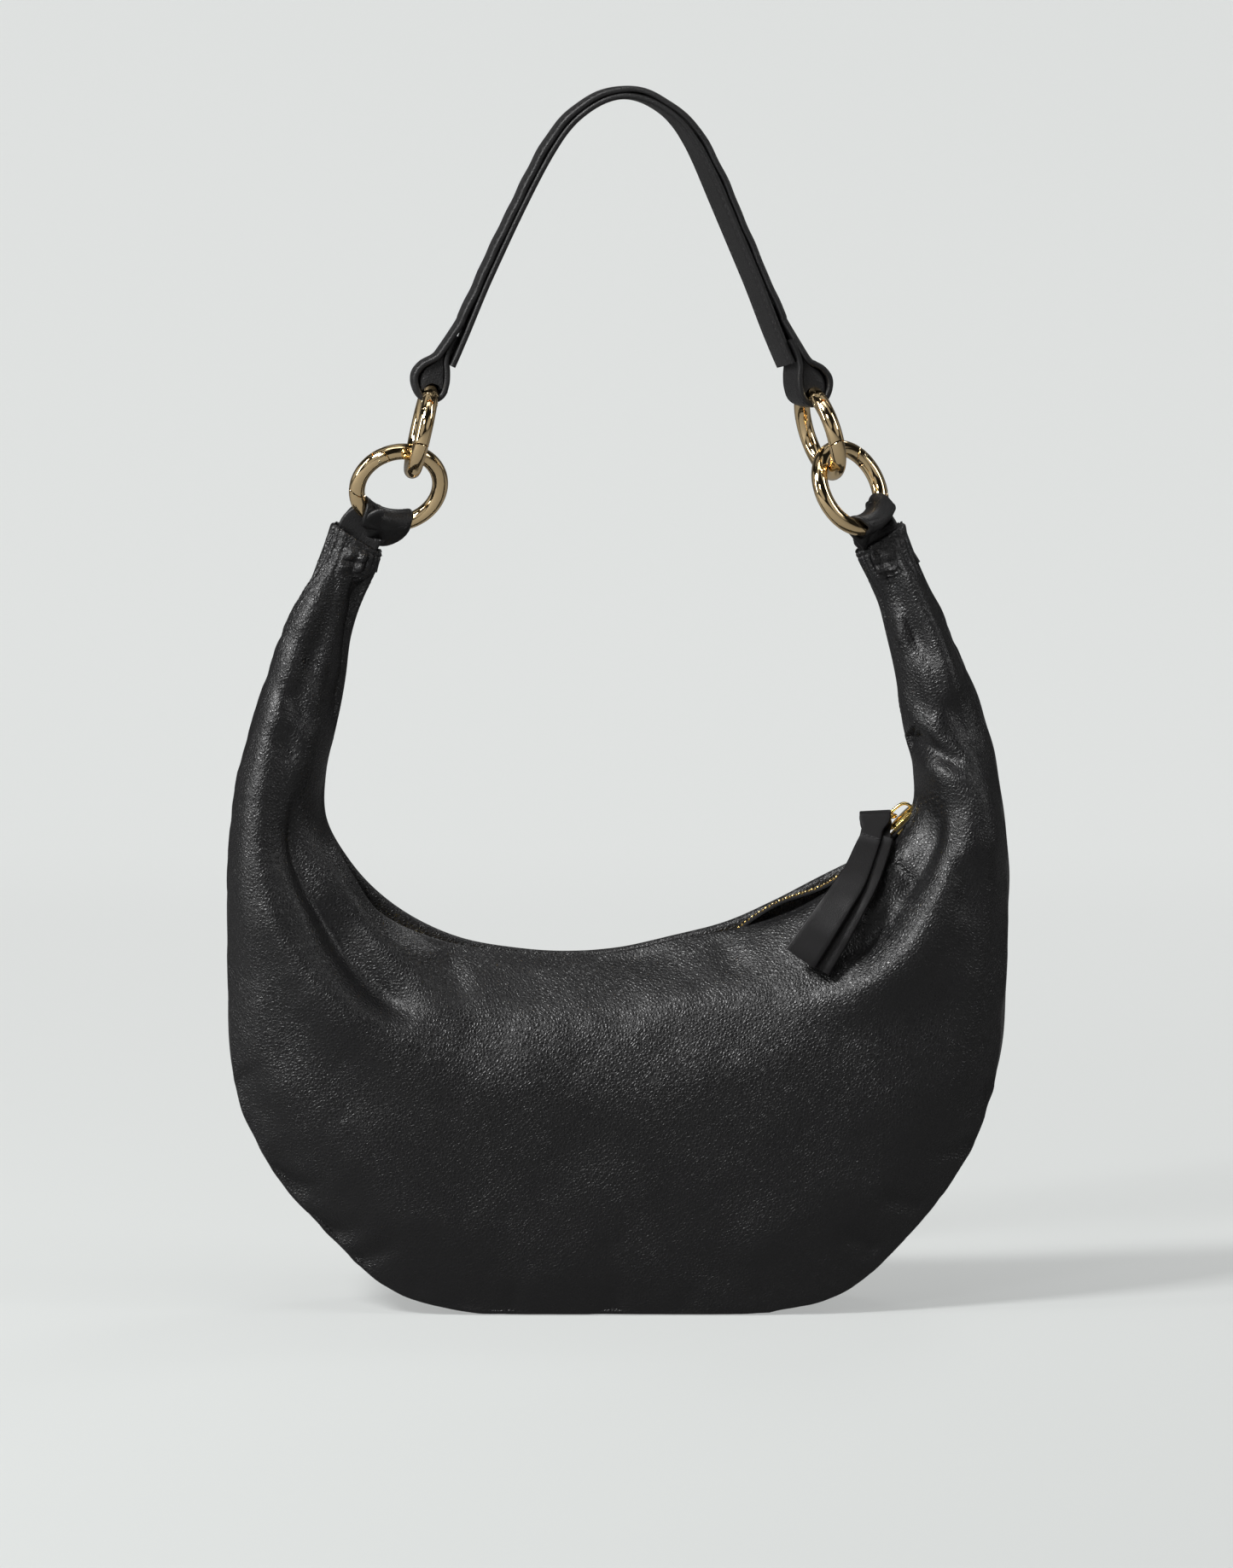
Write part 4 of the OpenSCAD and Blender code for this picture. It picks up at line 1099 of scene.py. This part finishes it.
# ---------------------------------------------------------------- tabs at the arms' mouths
def tab(name, nm, ang, mouth, w, dn, cad):
    c, x, y, p, turned = RINGS[nm]
    nz = np.cross(x, y)
    bp = c + R * on(x, y, ang)
    o_ = on(x, y, ang)
    tau = unit(-math.sin(math.radians(ang)) * x + math.cos(math.radians(ang)) * y)
    if (tau * w).sum() < 0:
        tau = -tau
    fr = nz if nz[1] < 0 else -nz
    nf = unit(np.cross(dn, w))
    if nf[1] > 0:
        nf = -nf
    rr = WIRE + 1.55
    ctl = [mouth + dn * 15 - nf * 1.3, mouth + dn * 6 - nf * 1.35, mouth - nf * 1.6, mouth - dn * 4.2 - nf * 1.9]
    wd = [w, w, w, unit(w * 0.6 + tau * 0.4)]
    for d in (-112, -80, -45, 0, 45, 80, 112):
        t = math.radians(d)
        ctl.append(bp + rr * (-math.cos(t) * o_ + math.sin(t) * fr))
        wd.append(tau)
    ctl += [mouth - dn * 4.2 + nf * 1.9, mouth + nf * 1.6, mouth + dn * 6 + nf * 1.35, mouth + dn * 15 + nf * 1.3]
    wd += [unit(w * 0.6 + tau * 0.4), w, w, w]
    ctl, wd = np.array(ctl), np.array(wd)
    tt = np.linspace(0, len(ctl) - 1, 200)
    C, W = cr(ctl, tt), cr(wd, tt)
    kern = np.hanning(21) / np.hanning(21).sum()
    W = unit(np.stack([np.convolve(np.pad(W[:, k_], 10, mode="edge"), kern, "valid") for k_ in range(3)], 1))
    T_ = unit(np.gradient(C, axis=0))
    W = unit(W - (W * T_).sum(-1, keepdims=True) * T_)
    Nn_ = np.cross(T_, W)
    near = np.exp(-(((tt - (len(ctl) - 1) / 2) / 4.2) ** 4))
    wid = 16.6 + 2.6 * near
    bow = -o_ * (near / (2 * R * 1.05))[:, None]
    secs = np.array([wide(ww, 2.1, 0.95, 9, 5) for ww in wid])
    # soft crease lines next to both edges
    for k_ in range(len(secs)):
        s_ = secs[k_]
        ed = np.abs(np.abs(s_[:, 0]) - (wid[k_] / 2 - 2.0))
        s_[:, 1] -= np.sign(s_[:, 1]) * 0.22 * np.exp(-(ed / 0.5) ** 2)
        secs[k_] = s_
    o = sweep(name, C, W, Nn_, secs, M_STRAP, 55, bow=bow)
    # stitches along both edges of the outer face, only where it shows
    st = []
    L = np.concatenate([[0], np.cumsum(np.linalg.norm(np.diff(C, axis=0), axis=1))])
    q = np.arange(13, L[-1] - 13, 2.8)
    sgn = 1.0
    mid = len(C) // 2
    if (Nn_[mid] * -o_).sum() < 0:
        sgn = -1.0
    for e in (-1, 1):
        cc = np.stack([np.interp(q, L, C[:, k_] + sgn * Nn_[:, k_] * 1.0 + e * W[:, k_] * (wid / 2 - 2.0) + bow[:, k_] * (wid / 2 - 2.0) ** 2) for k_ in range(3)], 1)
        nn = np.stack([np.interp(q, L, sgn * Nn_[:, k_]) for k_ in range(3)], 1)
        st.append(thread_row("ts", cc, nn, np.gradient(cc, axis=0), M_THREAD, 2.0, 0.22, -0.08))
    o = join(name, [o] + st)
    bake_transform(o)
    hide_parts(*cad)


ML, MR = np.array([-97.75, 0.5, 288]), np.array([97.75, -0.5, 288])
ml_w, mr_w = unit([0.847, 0, -0.532]), unit([0.847, 0, 0.532])
dl, dr = unit([-0.532, 0, -0.847]), unit([0.532, 0, -0.847])
tab("left_ring_tab_leather", "left_lower", 225, ML, ml_w, dl, ("left_ring_tab", "left_tab_anchor"))
tab("right_ring_tab_leather", "right_lower", 8, MR, mr_w, dr, ("right_ring_tab", "right_tab_anchor"))

# ---------------------------------------------------------------- strap
ARC = np.array([[-66.6, 352.8], [-64.4, 357.5], [-59, 370], [-53, 382.5], [-47, 395.5], [-41, 408.3], [-34.6, 421.2], [-27.4, 434.4], [-17.5, 447.6], [0.5, 456.8],
                [19, 450], [29.6, 437], [36.6, 422.6], [42.4, 409], [48, 395.8], [53.6, 382.6], [59.2, 370], [64.4, 357.5], [66.6, 352.8]], float)


def arc_dir(t):
    return unit(cr(ARC, np.minimum(t + 0.05, 18)) - cr(ARC, np.maximum(t - 0.05, 0)))


def strap_path(t, d):
    q = arc_dir(t)
    p = 0.5 * cr(ARC, t) + 0.25 * (cr(ARC, np.clip(t - 0.45, 0, 18)) + cr(ARC, np.clip(t + 0.45, 0, 18)))
    d = np.broadcast_to(d, t.shape)
    return np.stack([p[:, 0] - q[:, 1] * d, np.full(len(t), -9.0), p[:, 1] + q[:, 0] * d], 1)


def yaw_of(t):
    return 6 + 11 * smooth(t, 8.5, 12.5)


def yaw_w(deg):
    a = np.radians(deg)
    return np.stack([-np.sin(a), np.cos(a), np.zeros_like(a)], -1)


# local loop: a outward from the wire, b up, from the strap's outer layer round the wire and back between the layers
LOOP = [(-3.7, 13.6), (-1.3, 11.2), (3.0, 8.9), (5.8, 5.4), (5.9, 1.2), (3.9, -2.8), (0, -4.5), (-3.8, -2.6), (-5.4, 1.6), (-5.7, 6.0), (-5.5, 10.2), (-6.6, 14.6), (-9.0, 19.6)]


def loop_pts(T0, s, yaw):
    e1 = np.array([math.cos(math.radians(yaw)), math.sin(math.radians(yaw)), 0])
    return np.array([T0 + s * a_ * e1 + np.array([0, 0, b_]) for a_, b_ in LOOP])


TL = RINGS["left_upper"][0] + R * ul_y
TR = RINGS["right_upper"][0] + R * ur_y
t_mid = np.linspace(1.9, 16.1, 60)
mid = strap_path(t_mid, -0.1)
lp = loop_pts(TL, -1, 5)
rp = loop_pts(TR, 1, 18)
ctl = np.concatenate([lp[::-1], mid, rp])
yw = np.concatenate([np.full(len(lp), 5.0), yaw_of(t_mid), np.full(len(rp), 18.0)])
yw = np.convolve(np.pad(yw, 3, mode="edge"), np.ones(7) / 7, "valid")
tt = np.concatenate([np.linspace(0, 13, 120)[:-1], np.linspace(13, len(ctl) - 14, 260)[:-1], np.linspace(len(ctl) - 14, len(ctl) - 1, 120)])
C = cr(ctl, tt)
W = yaw_w(cr(yw[:, None], tt))
T_ = unit(np.gradient(C, axis=0))
W = unit(W - (W * T_).sum(-1, keepdims=True) * T_)
Nn_ = unit(np.cross(T_, W))
far = np.minimum(tt, len(ctl) - 1 - tt)
wid = 18.0 + 3.0 * smooth(far, 8, 15)
thick = 2.1


def strap_sections(wid, thick, n=13):
    secs = np.array([wide(w_, thick, 0.8, n, 5) for w_ in wid])
    for k_ in range(len(secs)):
        ed = np.abs(np.abs(secs[k_][:, 0]) - (wid[k_] / 2 - 2.1))
        secs[k_][:, 1] += np.sign(secs[k_][:, 1]) * (-0.24 * np.exp(-(ed / 0.55) ** 2) + 0.28 * (1 - (2 * secs[k_][:, 0] / wid[k_]) ** 2))
    return secs


wob = 0.18 * noise_field(tt * 6, tt * 0, 31, 26, 10)
C = C + Nn_ * (wob * smooth(far, 12, 18))[:, None]
outer = sweep("strap_outer_leather", C, W, Nn_, strap_sections(wid, thick), M_STRAP, 55)
outs = -1.0 if Nn_[len(C) // 2][2] < 0 else 1.0
L = np.concatenate([[0], np.cumsum(np.linalg.norm(np.diff(C, axis=0), axis=1))])
q = np.arange(22, L[-1] - 22, 2.9)
FILL = [(-3.5, 0.9), (-4.3, 1.2), (-4.6, 4.5), (-4.7, 7.5), (-4.6, 10.5), (-4.9, 13.5), (-3.6, 12.6), (-2.0, 10.6), (0.6, 9.0), (3.0, 7.2), (4.6, 4.6), (4.7, 0.9), (3.5, 0.9), (2.6, 2.3), (0, 3.35), (-2.6, 2.3)]
fills = []
for T0, s_, yaw in ((TL, -1, 5.0), (TR, 1, 18.0)):
    e1 = np.array([math.cos(math.radians(yaw)), math.sin(math.radians(yaw)), 0])
    e2 = np.array([-e1[1], e1[0], 0])
    ring_pts = np.array([T0 + s_ * a_ * e1 + np.array([0, 0, b_]) for a_, b_ in FILL])
    ring_pts = cr(np.concatenate([ring_pts, ring_pts[:1]]), np.linspace(0, len(FILL), 60)[:-1])
    cen = ring_pts.mean(0)
    low_ = np.array([0, 0, -0.03]) * (1 - smooth(ring_pts[:, 2] - T0[2], 3, 8))[:, None]
    layers = [cen + (ring_pts - cen) * f_ + e2 * y_ + low_ * y_ ** 2 for y_, f_ in ((-7.6, 0.86), (-7.2, 0.97), (-6.8, 1.0), (6.8, 1.0), (7.2, 0.97), (7.6, 0.86))]
    P = np.array(layers)
    n_, k_ = P.shape[:2]
    V = np.concatenate([P.reshape(-1, 3)])
    F = [list(f) for f in quads(n_, k_, wrap_m=True)] + [list(range(k_))[::-1], [(n_ - 1) * k_ + j for j in range(k_)]]
    fills.append(mesh_obj("fill", V, F, M_STRAP, 55))
st = []
for e in (-1, 1):
    cc = np.stack([np.interp(q, L, C[:, k_] + outs * Nn_[:, k_] * (thick / 2) + e * W[:, k_] * (wid / 2 - 2.1)) for k_ in range(3)], 1)
    nn = np.stack([np.interp(q, L, outs * Nn_[:, k_]) for k_ in range(3)], 1)
    st.append(thread_row("ss", cc, nn, np.gradient(cc, axis=0), M_THREAD, 2.1, 0.22, -0.1))
o = join("strap_outer_leather", [outer] + fills + st)
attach(o, "strap")
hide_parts("strap_outer", "left_strap_loop", "right_strap_loop")

tt = np.linspace(0.55, 17.45, 300)
d = -2.6 - 0.9 * (1 - smooth(np.minimum(tt, 18 - tt), 1.6, 3.4))
C = strap_path(tt, d)
W = yaw_w(yaw_of(tt))
T_ = unit(np.gradient(C, axis=0))
W = unit(W - (W * T_).sum(-1, keepdims=True) * T_)
Nn_ = unit(np.cross(T_, W))
wid = np.full(len(tt), 20.6)
inner = sweep("strap_inner_leather", C, W, Nn_, strap_sections(wid, 2.1), M_STRAP, 55)
L = np.concatenate([[0], np.cumsum(np.linalg.norm(np.diff(C, axis=0), axis=1))])
q = np.arange(2, L[-1] - 2, 2.9)
ins = -outs if (Nn_[len(C) // 2][2] > 0) == (outs > 0) else -outs
ins = -1.0 if Nn_[len(C) // 2][2] > 0 else 1.0
st = []
for e in (-1, 1):
    cc = np.stack([np.interp(q, L, C[:, k_] + ins * Nn_[:, k_] * 1.05 + e * W[:, k_] * (wid / 2 - 2.1)) for k_ in range(3)], 1)
    nn = np.stack([np.interp(q, L, ins * Nn_[:, k_]) for k_ in range(3)], 1)
    st.append(thread_row("si", cc, nn, np.gradient(cc, axis=0), M_THREAD, 2.1, 0.22, -0.1))
o = join("strap_inner_leather", [inner] + st)
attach(o, "strap")
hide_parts("strap_inner")
tt = np.linspace(2.4, 15.6, 200)
C = strap_path(tt, -1.35)
W = yaw_w(yaw_of(tt))
T_ = unit(np.gradient(C, axis=0))
W = unit(W - (W * T_).sum(-1, keepdims=True) * T_)
o = sweep("strap_core_cloth", C, W, unit(np.cross(T_, W)), rounded(17.5, 0.5, 0.2, 3), M_CORE, 55)
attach(o, "strap")
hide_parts("strap_core")

# ---------------------------------------------------------------- studio
GLOW = (0.30, 0.585)
def paper(name, col, glow):
    """Backdrop paper whose lift is seen by the camera alone, so that it does not light or reflect in the bag."""
    m, nt, b = material(name, col, 0.95, 0, 0.1)
    lp = nt.nodes.new("ShaderNodeLightPath")
    b.inputs["Emission Color"].default_value = (0.98, 1.0, 0.99, 1)
    geo = nt.nodes.new("ShaderNodeNewGeometry")
    sep = nt.nodes.new("ShaderNodeSeparateXYZ")
    nt.links.new(geo.outputs["Position"], sep.inputs["Vector"])
    mr = nt.nodes.new("ShaderNodeMapRange")
    mr.inputs["From Min"].default_value = -0.9
    mr.inputs["From Max"].default_value = 1.6
    mr.inputs["To Min"].default_value = glow[0]
    mr.inputs["To Max"].default_value = glow[1]
    nt.links.new(sep.outputs["Y"], mr.inputs["Value"])
    nt.links.new(math_node(nt, "MULTIPLY", lp.outputs["Is Camera Ray"], mr.outputs["Result"]), b.inputs["Emission Strength"])
    mix = nt.nodes.new("ShaderNodeMix")
    mix.data_type = "RGBA"
    mix.inputs[6].default_value = (0.24, 0.24, 0.24, 1)
    mix.inputs[7].default_value = (*col, 1)
    nt.links.new(lp.outputs["Is Camera Ray"], mix.inputs[0])
    nt.links.new(mix.outputs[2], b.inputs["Base Color"])
    # clear from behind and below, so that the bag's back and underside can be viewed
    out = [n_ for n_ in nt.nodes if n_.type == "OUTPUT_MATERIAL"][0]
    clear = nt.nodes.new("ShaderNodeBsdfTransparent")
    mx = nt.nodes.new("ShaderNodeMixShader")
    nt.links.new(geo.outputs["Backfacing"], mx.inputs[0])
    nt.links.new(b.outputs[0], mx.inputs[1])
    nt.links.new(clear.outputs[0], mx.inputs[2])
    nt.links.new(mx.outputs[0], out.inputs["Surface"])
    return m


M_FLOOR = paper("floor", (0.27, 0.28, 0.275), GLOW)
# seamless sweep: floor, curve, wall
prof = [(-2.6, 0.0), (1.4, 0.0)] + [(1.4 + 1.2 * math.sin(t), 1.2 - 1.2 * math.cos(t)) for t in np.radians(np.linspace(6, 90, 18))] + [(2.6, 4.0)]
xs_ = (-5.0, 5.0)
V = [(x_ * 1000, y_ * 1000, z_ * 1000 - 0.4) for y_, z_ in prof for x_ in xs_]
F = [(2 * i, 2 * i + 1, 2 * i + 3, 2 * i + 2) for i in range(len(prof) - 1)]
floor = mesh_obj("studio_sweep", V, F, M_FLOOR, 60, recalc=False)

w = bpy.data.worlds.new("studio")
bpy.context.scene.world = w
w.use_nodes = True
wt = w.node_tree
wt.nodes["Background"].inputs["Color"].default_value = (1.0, 0.99, 0.97, 1)
tc = wt.nodes.new("ShaderNodeTexCoord")
sp = wt.nodes.new("ShaderNodeSeparateXYZ")
wt.links.new(tc.outputs["Generated"], sp.inputs["Vector"])
# bright panels round the room with dark gaps between them, for the metal to reflect
az = math_node(wt, "ARCTAN2", sp.outputs["X"], sp.outputs["Y"])
band = math_node(wt, "ADD", math_node(wt, "SINE", math_node(wt, "ADD", math_node(wt, "MULTIPLY", az, 5.0), 2.3)),
                 math_node(wt, "SINE", math_node(wt, "ADD", math_node(wt, "MULTIPLY", sp.outputs["Z"], 8.0), 0.4)))
mr = wt.nodes.new("ShaderNodeMapRange")
mr.interpolation_type = "SMOOTHSTEP"
mr.inputs["From Min"].default_value = 0.1
mr.inputs["From Max"].default_value = 0.8
mr.inputs["To Min"].default_value = 0.01
mr.inputs["To Max"].default_value = 0.36
wt.links.new(band, mr.inputs["Value"])
lpw = wt.nodes.new("ShaderNodeLightPath")
seen = wt.nodes.new("ShaderNodeMix")
seen.data_type = "FLOAT"
wt.links.new(lpw.outputs["Is Camera Ray"], seen.inputs[0])
wt.links.new(mr.outputs["Result"], seen.inputs[2])
seen.inputs[3].default_value = 0.72
wt.links.new(seen.outputs[0], wt.nodes["Background"].inputs["Strength"])


def area(name, loc, target, sx, sy, power, color=(1, 1, 1)):
    d = bpy.data.lights.new(name, "AREA")
    d.shape = "RECTANGLE"
    d.size, d.size_y = sx, sy
    d.energy = power
    d.color = color
    o = bpy.data.objects.new(name, d)
    o.location = loc
    o.rotation_euler = (Vector(target) - Vector(loc)).to_track_quat("-Z", "Y").to_euler()
    bpy.context.scene.collection.objects.link(o)
    return o


area("key", (-1.3, -1.25, 1.75), (0, 0, 0.15), 0.5, 0.5, 62)
area("front_key", (-0.85, -2.2, 1.35), (0, 0, 0.15), 0.36, 0.36, 7)
area("top", (-0.1, -0.75, 2.3), (0, 0, 0.15), 1.2, 0.6, 4.5)
area("left_strip", (-1.5, -0.45, 0.7), (0, 0, 0.2), 0.2, 1.1, 8)
area("right_fill", (1.6, -0.6, 1.2), (0, 0, 0.2), 0.4, 1.0, 7)

area("back_fill", (0.55, 1.2, 1.5), (0, 0, 0.15), 0.5, 0.5, 4)

cam = bpy.data.cameras.new("camera")
cam.sensor_fit = "VERTICAL"
cam.sensor_height = 24
cam.lens = 12 / math.tan(math.radians(11.19 / 2))
cam.clip_end = 30
co = bpy.data.objects.new("camera", cam)
tgt = Vector((-0.0008, 0, 0.1961))
el = math.radians(5)
co.location = tgt + Vector((0, -3.0 * math.cos(el), 3.0 * math.sin(el)))
co.rotation_euler = (tgt - co.location).to_track_quat("-Z", "Y").to_euler()
bpy.context.scene.collection.objects.link(co)
bpy.context.scene.camera = co
bpy.context.scene.view_settings.view_transform = "Standard"
